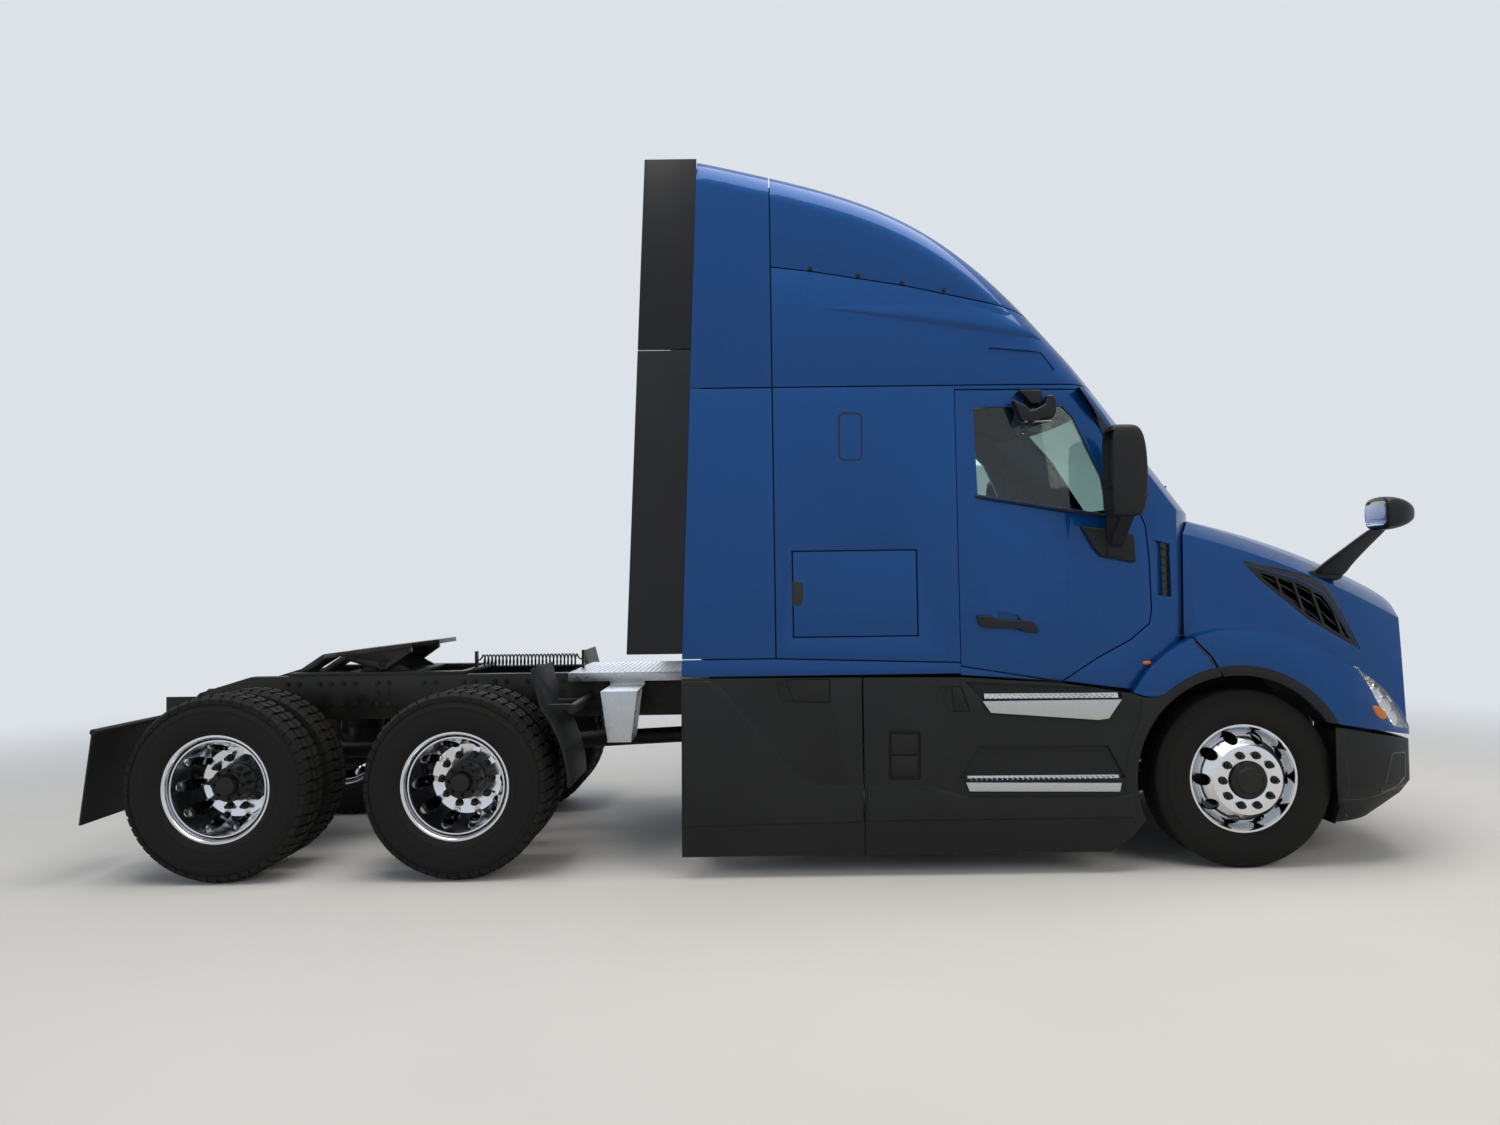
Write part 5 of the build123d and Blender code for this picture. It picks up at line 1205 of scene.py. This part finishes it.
# %% Fittings on the cab's sides
PILLAR = [(-0.872, 2.700), (-0.790, 2.575), (-0.731, 2.475), (-0.672, 2.370), (-0.612, 2.262), (-0.548, 2.160),
          (-0.500, 2.075)]
for side, sign in SIDES:
    touch = beside(body_skin, sign)
    hatch = draped_strip("hatch", touch, loop_path(rounded([(-2.223, 2.566), (-2.097, 2.565), (-2.101, 2.301),
                                                            (-2.226, 2.302)], 0.028), 0.08),
                         [(-0.005, -0.001), (-0.004, 0.0012), (0.004, 0.0012), (0.005, -0.001)], closed=True)
    pillar = draped_strip("pillar", touch, PILLAR, [(-0.019, -0.002), (-0.018, 0.003), (-0.002, 0.003),
                                                    (0.0, 0.0055), (0.002, 0.003), (0.018, 0.003), (0.019, -0.002)])
    # Along the hood seam, a black strip on the cab's edge is painted shade: it widens the seam's dark line to the
    # width of the gap and its shadow
    seal = draped_strip("seal", beside(skin_of("cab_panels"), sign), fine_path(
        [(-0.3285, 1.960), (-0.3285, 1.404), (-0.3435, 1.337), (-0.2850, 1.263), (-0.2050, 1.180),
         (-0.1570, 1.090)]), [(-0.007, -0.002), (-0.0062, 0.0008), (0.005, 0.0008), (0.006, -0.002)])
    dress(joined(f"side_trim_{side}", [hatch, pillar, seal]), gloss_plastic, "chassis")
    paddle = side_slab("paddle", rounded([(-2.492, 1.618), (-2.452, 1.605), (-2.452, 1.492), (-2.492, 1.498)],
                                         0.008), sign * 1.190, sign * 1.2125)
    well = side_slab("well", rounded([(-2.500, 1.630), (-2.440, 1.615), (-2.440, 1.480), (-2.500, 1.488)],
                                     0.010), sign * 1.185, sign * 1.2065)
    dress(soft_edges(joined(f"luggage_latch_{side}", [bevelled(paddle, 0.003, 2), bevelled(well, 0.001, 2)]), 40),
          gloss_plastic, f"luggage_door_{side}")
    skin_y = abs(touch(-0.440, 1.660)[0].y)
    wedge = side_slab("cutter", [(-0.490, 1.837), (-0.420, 1.822), (-0.414, 1.516), (-0.463, 1.524)],
                      sign * 1.30, sign * 1.10)
    for vertex in wedge.data.vertices:
        if abs(vertex.co.y) < 1.2:
            vertex.co.y = sign * (skin_y - (0.001 if vertex.co.x < at(-0.44, 0, 0).x else 0.036))
    cut(cab, wedge)
    cut(cab, side_slab("cutter", [(-0.424, 1.822), (-0.382, 1.810), (-0.380, 1.514), (-0.418, 1.516)],
                       sign * 1.30, sign * (skin_y - 0.042)))
    slot_face = side_slab("slot", [(-0.4235, 1.821), (-0.3825, 1.809), (-0.3805, 1.5145), (-0.4175, 1.5165)],
                          sign * (skin_y - 0.0445), sign * (skin_y - 0.030))
    fins = [bevelled(side_slab("fin", [(-0.422, 1.790 - 0.045 * k), (-0.384, 1.783 - 0.045 * k),
                                       (-0.384, 1.775 - 0.045 * k), (-0.422, 1.782 - 0.045 * k)],
                               sign * (skin_y - 0.034), sign * (skin_y - 0.016)), 0.002, 1) for k in range(6)]
    dress(soft_edges(joined(f"cowl_slot_{side}", [slot_face] + fins), 40), gloss_plastic, "chassis")
soft_edges(cab, 30)

# %% [markdown]
# Behind the hood seam the black arch lip goes on down to the skirt, as one moulding with the skirt's edge.
# The skirt's faces have a broad raised form below, hatches, a latch and a pocket over each step.

# %% Skirts and arch trim
ARCH_STATION, ARCH_Z = -0.045, 0.505
RAISED = {"rear": ([(-3.120, 1.085), (-2.953, 1.085), (-2.907, 1.061), (-2.510, 0.590), (-2.456, 0.544),
                    (-2.383, 0.512), (-2.128, 0.507), (-2.128, 0.296), (-3.120, 0.282)],
                   (0.004, 0.030, 0.055, 0.055, 0.055, 0.055, 0.004, 0.010, 0.004)),
          "front": ([(-2.108, 0.506), (-1.724, 0.501), (-1.630, 0.455), (-1.560, 0.432), (-0.700, 0.425),
                     (-0.632, 0.440), (-0.630, 0.300), (-2.108, 0.299)],
                    (0.055, 0.050, 0.020, 0.008, 0.008, 0.008, 0.010, 0.004))}


def inset(outline, widths):
    # The outline drawn in by its own width at each edge
    count = len(outline)
    turn = 1 if sum(x0 * z1 - x1 * z0 for (x0, z0), (x1, z1) in zip(outline, outline[1:] + outline[:1])) > 0 else -1
    lines = []
    for i in range(count):
        (x0, z0), (x1, z1) = outline[i], outline[(i + 1) % count]
        size = math.hypot(x1 - x0, z1 - z0)
        nx, nz = -turn * (z1 - z0) / size, turn * (x1 - x0) / size
        lines.append((nx, nz, nx * x0 + nz * z0 + widths[i]))
    points = []
    for i in range(count):
        (a, b, c), (d, e, f) = lines[i - 1], lines[i]
        det = a * e - b * d
        if abs(det) < 0.02:
            points.append((outline[i][0] + d * widths[i], outline[i][1] + e * widths[i]))
        else:
            points.append(((c * e - b * f) / det, (a * f - c * d) / det))
    return points


def raised_form(name, outline, widths, y_from, y_to):
    # A plate whose sides slope from the outline up to the drawn-in outline
    count = len(outline)
    verts = [at(x, y_from, z) for x, z in outline] + [at(x, y_to, z) for x, z in inset(outline, widths)]
    faces = [tuple(range(count)), tuple(range(2 * count - 1, count - 1, -1))]
    faces += [(i, i + count, (i + 1) % count + count, (i + 1) % count) for i in range(count)]
    return clean(mesh_object(name, verts, faces))


def ring_points(radius, start, end, steps=28):
    return [(ARCH_STATION + radius * math.cos(math.radians(start + (end - start) * i / steps)),
             ARCH_Z + radius * math.sin(math.radians(start + (end - start) * i / steps))) for i in range(steps + 1)]


POCKETS = (([(-1.556, 1.060), (-0.700, 1.010), (-0.690, 0.962), (-1.462, 0.962)], 0.020),
           ([(-1.600, 0.530), (-0.680, 0.520), (-0.775, 0.700), (-1.490, 0.705)], 0.016),
           (rounded([(-1.984, 0.798), (-1.806, 0.795), (-1.809, 0.526), (-1.987, 0.528)], 0.018), 0.016),
           ([(-1.702, 1.040), (-1.576, 1.036), (-1.528, 0.895), (-1.655, 0.896)], 0.008),
           ([(-2.602, 1.062), (-2.549, 1.087), (-2.300, 1.087), (-2.300, 0.952), (-2.565, 0.964)], 0.008))
PLATES = (([(-1.968, 0.778), (-1.822, 0.775), (-1.824, 0.665), (-1.970, 0.667)], 0.012),
          ([(-1.970, 0.660), (-1.824, 0.658), (-1.826, 0.545), (-1.972, 0.547)], 0.010),
          ([(-1.628, 1.034), (-1.582, 1.033), (-1.536, 0.900), (-1.618, 0.901)], 0.007),
          ([(-2.543, 1.082), (-2.306, 1.082), (-2.306, 0.958), (-2.500, 0.965)], 0.007))
for side, sign in SIDES:
    for outline, depth in POCKETS:
        cut(skirts, side_slab("cutter", outline, sign * 1.30, sign * (1.235 - depth)))
    forms = [bevelled(raised_form("raised", *RAISED[part], sign * 1.234, sign * 1.2435), 0.004, 2, 12)
             for part in ("rear", "front")]
    for (outline, lift), depth in zip(PLATES, (0.016, 0.016, 0.008, 0.008)):
        plate = side_slab("plate", rounded(outline, 0.006, 2), sign * 1.215, sign * (1.235 - depth + lift))
        forms.append(bevelled(plate, 0.003, 2))
    trim = (ring_points(0.5725, 99.5, 202) + ring_points(0.640, 202, 150, 10) + [(-0.585, 0.958), (-0.500, 0.962)]
            + ring_points(0.6235, 130, 99.5, 8))
    forms.append(bevelled(side_slab("trim", trim, sign * 1.130, sign * 1.2385), 0.004, 2, 40))
    dress(soft_edges(joined(f"skirt_forms_{side}", forms), 40), grained_plastic, "chassis")
soft_edges(skirts, 30)

# %% [markdown]
# Splash guards line the wheel arches: thin bent sheets a hand's breadth off the tyre. The front part of each
# hangs from the hood and tilts with it, the rest is fixed behind the bumper and under the cab's foot.

# %% Wheel-house liners and step treads
for side, sign in SIDES:
    for label, start, end, body in (("hood", 30, 98, "hood"), ("front", -26, 24, "chassis"),
                                    ("rear", 101, 200, "chassis")):
        band = ring_points(0.6100, start, end, 20) + ring_points(0.6160, end, start, 20)
        guard = side_slab("guard", band, sign * 0.740, sign * (1.128 if label != "front" else 1.150))
        guard.name = guard.data.name = f"{label}_splash_guard_{side}"
        dress(soft_edges(guard, 40), grained_plastic, body)
    treads = []
    for x0, x1, z in ((-1.450, -0.712, 0.9660), (-1.550, -0.716, 0.5165)):
        count = round((x1 - x0) / 0.03)
        strip = side_slab("tread", [(x0, z), (x1, z - (0.004 if z > 0.9 else 0.010)),
                                    (x1, z + 0.022), (x0, z + 0.026)], sign * 1.2150, sign * 1.2335)
        for vertex in strip.data.vertices:
            if vertex.co.z > z + 0.012 and abs(vertex.co.y) > 1.22:
                vertex.co.y = sign * 1.2185
        treads.append(strip)
        for row, (rise, y) in enumerate(((0.006, 1.2305), (0.016, 1.2235))):
            for i in range(count):
                x = x0 + 0.018 + (x1 - x0 - 0.036) * (i + 0.5 * row) / count
                low = at(x, sign * y, z + rise)
                treads.append(rod("tooth", low - Vector((0, sign * 0.003, 0.0015)),
                                  low + Vector((0, sign * 0.0032, 0.0022)), 0.0085, 8, 0.0055))
    dress(soft_edges(joined(f"step_treads_{side}", treads), 40), mill_aluminium, "chassis")

# %% [markdown]
# The lamp lens is clear over bright cells. Each cell is a shallow bowl, and the amber turn lamp sits behind
# them. The side grille has long thin bars crossing its slanting ones and a dark screen behind.

# %% Lamps, grilles and bumper
CELLS = ((0.640, 1.072, 0.040), (0.705, 1.010, 0.046), (0.768, 0.944, 0.050), (0.830, 0.872, 0.052), (0.893, 0.806, 0.046))
AMBER = [(0.705, 0.903), (0.772, 0.888), (0.826, 0.846), (0.818, 0.806), (0.762, 0.812), (0.722, 0.862)]
VENT_TOP = [(0.100, 1.699), (0.429, 1.610), (0.606, 1.528), (0.718, 1.368), (0.812, 1.190)]
VENT_FOOT = [(0.092, 1.688), (0.194, 1.582), (0.476, 1.360), (0.806, 1.182)]
VENT_EDGE = [(0.098, 1.694), (0.429, 1.605), (0.603, 1.524), (0.714, 1.366), (0.806, 1.194)]
VENT_FRAME = [(0.094, 1.716), (0.310, 1.672), (0.538, 1.618), (0.618, 1.572), (0.680, 1.474), (0.742, 1.345),
              (0.816, 1.190)]


def along_line(points, share):
    # The point at a share of a line's length
    spans = [(Vector(b) - Vector(a)).length for a, b in zip(points, points[1:])]
    left = share * sum(spans)
    for a, b, span in zip(points, points[1:], spans):
        if left <= span:
            return Vector(a).lerp(Vector(b), left / span)
        left -= span
    return Vector(points[-1])


for side, sign in SIDES:
    touch = beside(hood_skin, sign)
    bowls = []
    for station, z, radius in CELLS:
        point, normal = touch(station, z)
        base = point - normal * 0.060
        profile = [(radius, 0.024), (radius * 0.97, 0.026), (radius * 0.85, 0.010), (radius * 0.5, -0.006), (0.0, -0.010),
                   (0.0, -0.018), (radius * 0.6, -0.014), (radius * 1.0, 0.008)]
        bowl = turned("bowl", profile, (0, 0, 0), 40)
        bowl.data.transform(Vector((0, 1, 0)).rotation_difference(normal).to_matrix().to_4x4())
        bowl.data.transform(Matrix.Translation(base))
        bowls.append(soft_edges(bowl, 40))
        bead = rod("bead", base - normal * 0.008, base + normal * 0.012, radius * 0.34, 20, radius * 0.24)
        bowls.append(soft_edges(bead, 40))
    dress(joined(f"lamp_bowls_{side}", bowls), mirror_silver, "hood")
    back_plate = []
    for x, z in loop_path(rounded([(0.575, 1.175), (0.755, 1.045), (0.995, 0.760), (0.885, 0.775), (0.780, 0.885),
                                   (0.712, 0.998)], 0.01, 2), 0.05):
        point, normal = touch(x, z)
        back_plate.append((point - normal * 0.034, point - normal * 0.085))
    count = len(back_plate)
    verts = [pair[0] for pair in back_plate] + [pair[1] for pair in back_plate]
    faces = [tuple(range(2 * count - 1, count - 1, -1))]
    faces += [(i, i + count, (i + 1) % count + count, (i + 1) % count) for i in range(count)]
    dress(soft_edges(clean(mesh_object(f"lamp_housing_{side}", verts, faces)), 40), gloss_plastic, "hood")
    amber = []
    for x, z in AMBER:
        amber.append(touch(x, z))
    middle = touch(sum(x for x, _ in AMBER) / 6, sum(z for _, z in AMBER) / 6)
    rings = [[p - n * 0.012 for p, n in amber], [p + n * 0.003 for p, n in amber],
             [p * 0.8 + middle[0] * 0.2 + n * 0.007 for p, n in amber]]
    dress(rounded_form(f"turn_lamp_{side}", rings, 1), amber_lens, "hood")
    bars = []
    edges = [[touch(*along_line(line, u)) for line in (VENT_TOP, VENT_FOOT)] for u in (k / 14 for k in range(1, 14))]
    for share in (0.22, 0.48, 0.74):
        line = [top[0].lerp(foot[0], share) - top[1].lerp(foot[1], share) * 0.012 for top, foot in edges]
        bars += [rod("bar", a, b, 0.0045, 8) for a, b in zip(line, line[1:])]
    rows = []
    for k in range(25):
        inner, outer = along_line(VENT_EDGE, k / 24), along_line(VENT_FRAME, k / 24)
        rows.append([touch(*inner.lerp(outer, share)) for share in (0.0, 0.25, 0.5, 0.75, 1.0)])
    proud = (-0.001, 0.003, 0.003, 0.003, -0.002)
    verts = [p + n * lift for row in rows for (p, n), lift in zip(row, proud)]
    faces = [(5 * k + i, 5 * k + 5 + i, 5 * k + 6 + i, 5 * k + 1 + i) for k in range(24) for i in range(4)]
    bars.append(clean(mesh_object("frame", verts, faces)))
    dress(soft_edges(joined(f"side_grille_bars_{side}", bars)), gloss_plastic, "hood")
    touch = beside(bumper_skin, sign)
    seams = [draped_strip("seam", touch, fine_path([(0.535, 0.740), (0.556, 0.400), (0.540, 0.290)], 0.05), SEAM),
             draped_strip("seam", touch, fine_path([(0.520, 0.375), (0.690, 0.372), (0.900, 0.410), (1.050, 0.425)],
                                                   0.05), SEAM)]
    rim = draped_strip("rim", touch, loop_path(rounded([(0.770, 0.400), (0.862, 0.620), (0.975, 0.610), (0.965, 0.470),
                                                        (0.890, 0.425)], 0.015), 0.05), LIP, closed=True)
    dress(joined(f"bumper_lines_{side}", seams + [rim]), gloss_plastic, "chassis")

# %% [markdown]
# Small side lamps sit on the fender's tail. Two wipers rest at the foot of the windscreen; each is an arm and
# a blade that lie a few millimetres off the glass.

# %% Fender lamps and wipers
fender_skin = skin_of("cab_panels")
for side, sign in SIDES:
    point, normal = beside(fender_skin, sign)(-0.535, 1.148)
    along = normal.cross(Vector((0, 0, 1))).normalized()
    up = along.cross(normal)
    rings = [[point + along * a * 0.026 * k + up * b * 0.012 * k + normal * out
              for a, b in ((1, 0.5), (0.5, 1), (-0.5, 1), (-1, 0.5), (-1, -0.5), (-0.5, -1), (0.5, -1), (1, -0.5))]
             for k, out in ((1.0, -0.008), (1.0, 0.010), (0.7, 0.018))]
    dress(rounded_form(f"fender_lamp_{side}", rings, 2), amber_lens, "chassis")
glass_front = ahead(skin_of("windscreen", "cab_panels"))
wipers = []
for y_pivot, y_tip in ((-0.10, -0.70), (0.62, 0.04)):
    lines = []
    for share in (0.0, 0.2, 0.4, 0.6, 0.8, 1.0):
        y = y_pivot + (y_tip - y_pivot) * share
        point, normal = glass_front(y, 2.120 + 0.045 * share)
        lines.append(point + normal * (0.022 - 0.008 * share))
    wipers += [rod("blade", a, b, 0.007, 10) for a, b in zip(lines[1:], lines[2:])]
    root, facing = glass_front(y_pivot + (0.02 if y_pivot > 0 else -0.02), 2.075)
    elbow = lines[3] + Vector((0.012, 0, 0.0))
    wipers += [rod("arm", root + facing * 0.004, root + facing * 0.035, 0.016, 14),
               rod("arm", root + facing * 0.032, elbow, 0.006, 10), rod("joint", elbow, lines[3], 0.009, 10)]
dress(soft_edges(joined("wipers", wipers)), gloss_plastic, "chassis")

# %% [markdown]
# The cabin is seen through the glass: two tall seats, a bunk behind them, and the dashboard. Each cushion is
# blown up a little by cloth simulation from a slimmer block, which gives the crown and the soft corners
# that padding has.

# %% Seats and bunk


def puffed(name, centre, size, tilt=0.0, cap=0.024, voxel=0.008, body="chassis", nodes=()):
    pad = block(name, (0, 0, 0), size)
    pad.name = pad.data.name = name
    bevelled(pad, min(size) * 0.32, 4)
    pad.data.transform(Matrix.Rotation(tilt, 4, "Y"))
    pad.data.transform(Matrix.Translation(Vector(centre)))
    remesh = pad.modifiers.new("remesh", "REMESH")
    remesh.mode = "VOXEL"
    remesh.voxel_size = voxel
    settle(pad)
    before = [v.co.copy() for v in pad.data.vertices]
    cloth = pad.modifiers.new("cloth", "CLOTH")
    cloth.settings.use_pressure = True
    cloth.settings.uniform_pressure_force = 4
    cloth.settings.effector_weights.gravity = 0
    for step in range(1, 21):
        bpy.context.scene.frame_set(step)
    settle(pad)
    for vertex, old in zip(pad.data.vertices, before):
        shift = vertex.co - old
        if shift.length > cap:
            vertex.co = old + shift.normalized() * cap
    bpy.context.scene.frame_set(1)
    for face in pad.data.polygons:
        face.use_smooth = True
    dress(pad, seat_cloth, body, *nodes)
    return pad


SEAT_Y = 0.520
for side, sign in SIDES:
    puffed(f"seat_cushion_{side}", at(-1.215, sign * SEAT_Y, 1.565), (0.46, 0.44, 0.09), -0.04, 0.02,
           nodes=("seats_and_bunk",) if side == "right" else ())
    puffed(f"seat_back_{side}", at(-1.478, sign * SEAT_Y, 1.860), (0.085, 0.42, 0.50), 0.09, 0.02)
    puffed(f"head_rest_{side}", at(-1.470, sign * SEAT_Y, 2.235), (0.070, 0.24, 0.17), -0.10, 0.012)
    post = joined(f"seat_base_{side}", [block("a", at(-1.22, sign * SEAT_Y, 1.345), (0.30, 0.30, 0.328)),
                                        block("b", at(-1.505, sign * SEAT_Y, 1.840), (0.022, 0.40, 0.54))])
    dress(soft_edges(bevelled(post, 0.008, 2)), cabin_dark, "chassis")
puffed("bunk_mattress", at(-2.36, 0, 1.800), (1.04, 1.84, 0.085), 0.0, 0.016, 0.016)

# %% [markdown]
# A product picture needs a plain pale floor and broad soft lamps. The world is seen as near white by the
# camera, by mirrors and through glass, and lights the shaded side gently.

# %% Floor, world and lamps
BACKDROP = "#dde2e8"
floor_material, floor_tree = new_material("matt_studio_floor")
floor_patch = blotches(floor_tree, 0.6)
floor_tint = shades(floor_tree, floor_patch.outputs["Fac"], linear("#cdcdcb"), linear("#d1d1cf"))
floor_shader = add_node(floor_tree, "ShaderNodeBsdfPrincipled", {
    "Base Color": floor_tint.outputs["Color"], "Roughness": 0.9, "Specular IOR Level": 0.1})
# Far from the truck the floor takes the backdrop's colour, so that no horizon line is left
floor_place = add_node(floor_tree, "ShaderNodeTexCoord")
floor_reach = add_node(floor_tree, "ShaderNodeVectorMath", {0: floor_place.outputs["Object"]}, operation="LENGTH")
floor_share = add_node(floor_tree, "ShaderNodeMapRange", {"Value": floor_reach.outputs["Value"], "From Min": 4.8,
                                                          "From Max": 12.0}, interpolation_type="SMOOTHSTEP")
floor_ray = add_node(floor_tree, "ShaderNodeLightPath")
floor_mirrored = add_node(floor_tree, "ShaderNodeMath", {0: floor_ray.outputs["Is Glossy Ray"],
                                                         1: floor_ray.outputs["Is Transmission Ray"]},
                          operation="MAXIMUM")
floor_seen = add_node(floor_tree, "ShaderNodeMath", {0: floor_ray.outputs["Is Camera Ray"],
                                                     1: floor_mirrored.outputs["Value"]}, operation="MAXIMUM")
floor_fade = add_node(floor_tree, "ShaderNodeMath", {0: floor_share.outputs["Result"],
                                                     1: floor_seen.outputs["Value"]}, operation="MULTIPLY")
floor_glow = add_node(floor_tree, "ShaderNodeEmission", {"Color": linear(BACKDROP), "Strength": 1.0})
floor_mix = add_node(floor_tree, "ShaderNodeMixShader", {
    0: floor_fade.outputs["Value"], 1: floor_shader.outputs["BSDF"], 2: floor_glow.outputs["Emission"]})
close_material(floor_tree, floor_mix.outputs["Shader"])
floor = mesh_object("studio_floor", [(-60, -60, 0), (60, -60, 0), (60, 60, 0), (-60, 60, 0)], [(0, 1, 2, 3)])
floor.data.materials.append(floor_material)

world = bpy.data.worlds.new("studio")
bpy.context.scene.world = world
world.use_nodes = True
world_tree = world.node_tree
world_tree.nodes.clear()
ray = add_node(world_tree, "ShaderNodeLightPath")
through = add_node(world_tree, "ShaderNodeMath", {0: ray.outputs["Is Glossy Ray"],
                                                  1: ray.outputs["Is Transmission Ray"]}, operation="MAXIMUM")
seen = add_node(world_tree, "ShaderNodeMath", {0: ray.outputs["Is Camera Ray"],
                                               1: through.outputs["Value"]}, operation="MAXIMUM")
shining = add_node(world_tree, "ShaderNodeBackground", {"Color": linear(BACKDROP), "Strength": 1.0})
lighting = add_node(world_tree, "ShaderNodeBackground", {"Color": linear("#dfe6f0"), "Strength": 0.35})
world_mix = add_node(world_tree, "ShaderNodeMixShader", {
    0: seen.outputs["Value"], 1: lighting.outputs["Background"], 2: shining.outputs["Background"]})
add_node(world_tree, "ShaderNodeOutputWorld", {"Surface": world_mix.outputs["Shader"]})


def soft_lamp(name, place, target, size, power, colour, mirrored=True):
    data = bpy.data.lights.new(name, "AREA")
    data.shape = "RECTANGLE"
    data.size, data.size_y = size
    data.energy = power
    data.color = linear(colour)[:3]
    lamp = bpy.data.objects.new(name, data)
    lamp.location = place
    lamp.rotation_euler = (Vector(target) - Vector(place)).to_track_quat("-Z", "Y").to_euler()
    lamp.visible_glossy = mirrored
    bpy.context.scene.collection.objects.link(lamp)


soft_lamp("overhead", (1.0, -1.5, 9.5), (0.3, 0, 1.5), (11, 6), 850, "#fff8ee")
soft_lamp("key", (7.0, -9.0, 6.0), (0.5, 0, 1.8), (6, 5), 360, "#fff6ea", False)
soft_lamp("fill", (-8.0, -9.0, 3.5), (-0.5, 0, 1.5), (7, 4), 260, "#eaf1ff", False)
soft_lamp("far_side", (0.0, 10.0, 6.0), (0, 0, 2.0), (9, 5), 300, "#eef3ff")
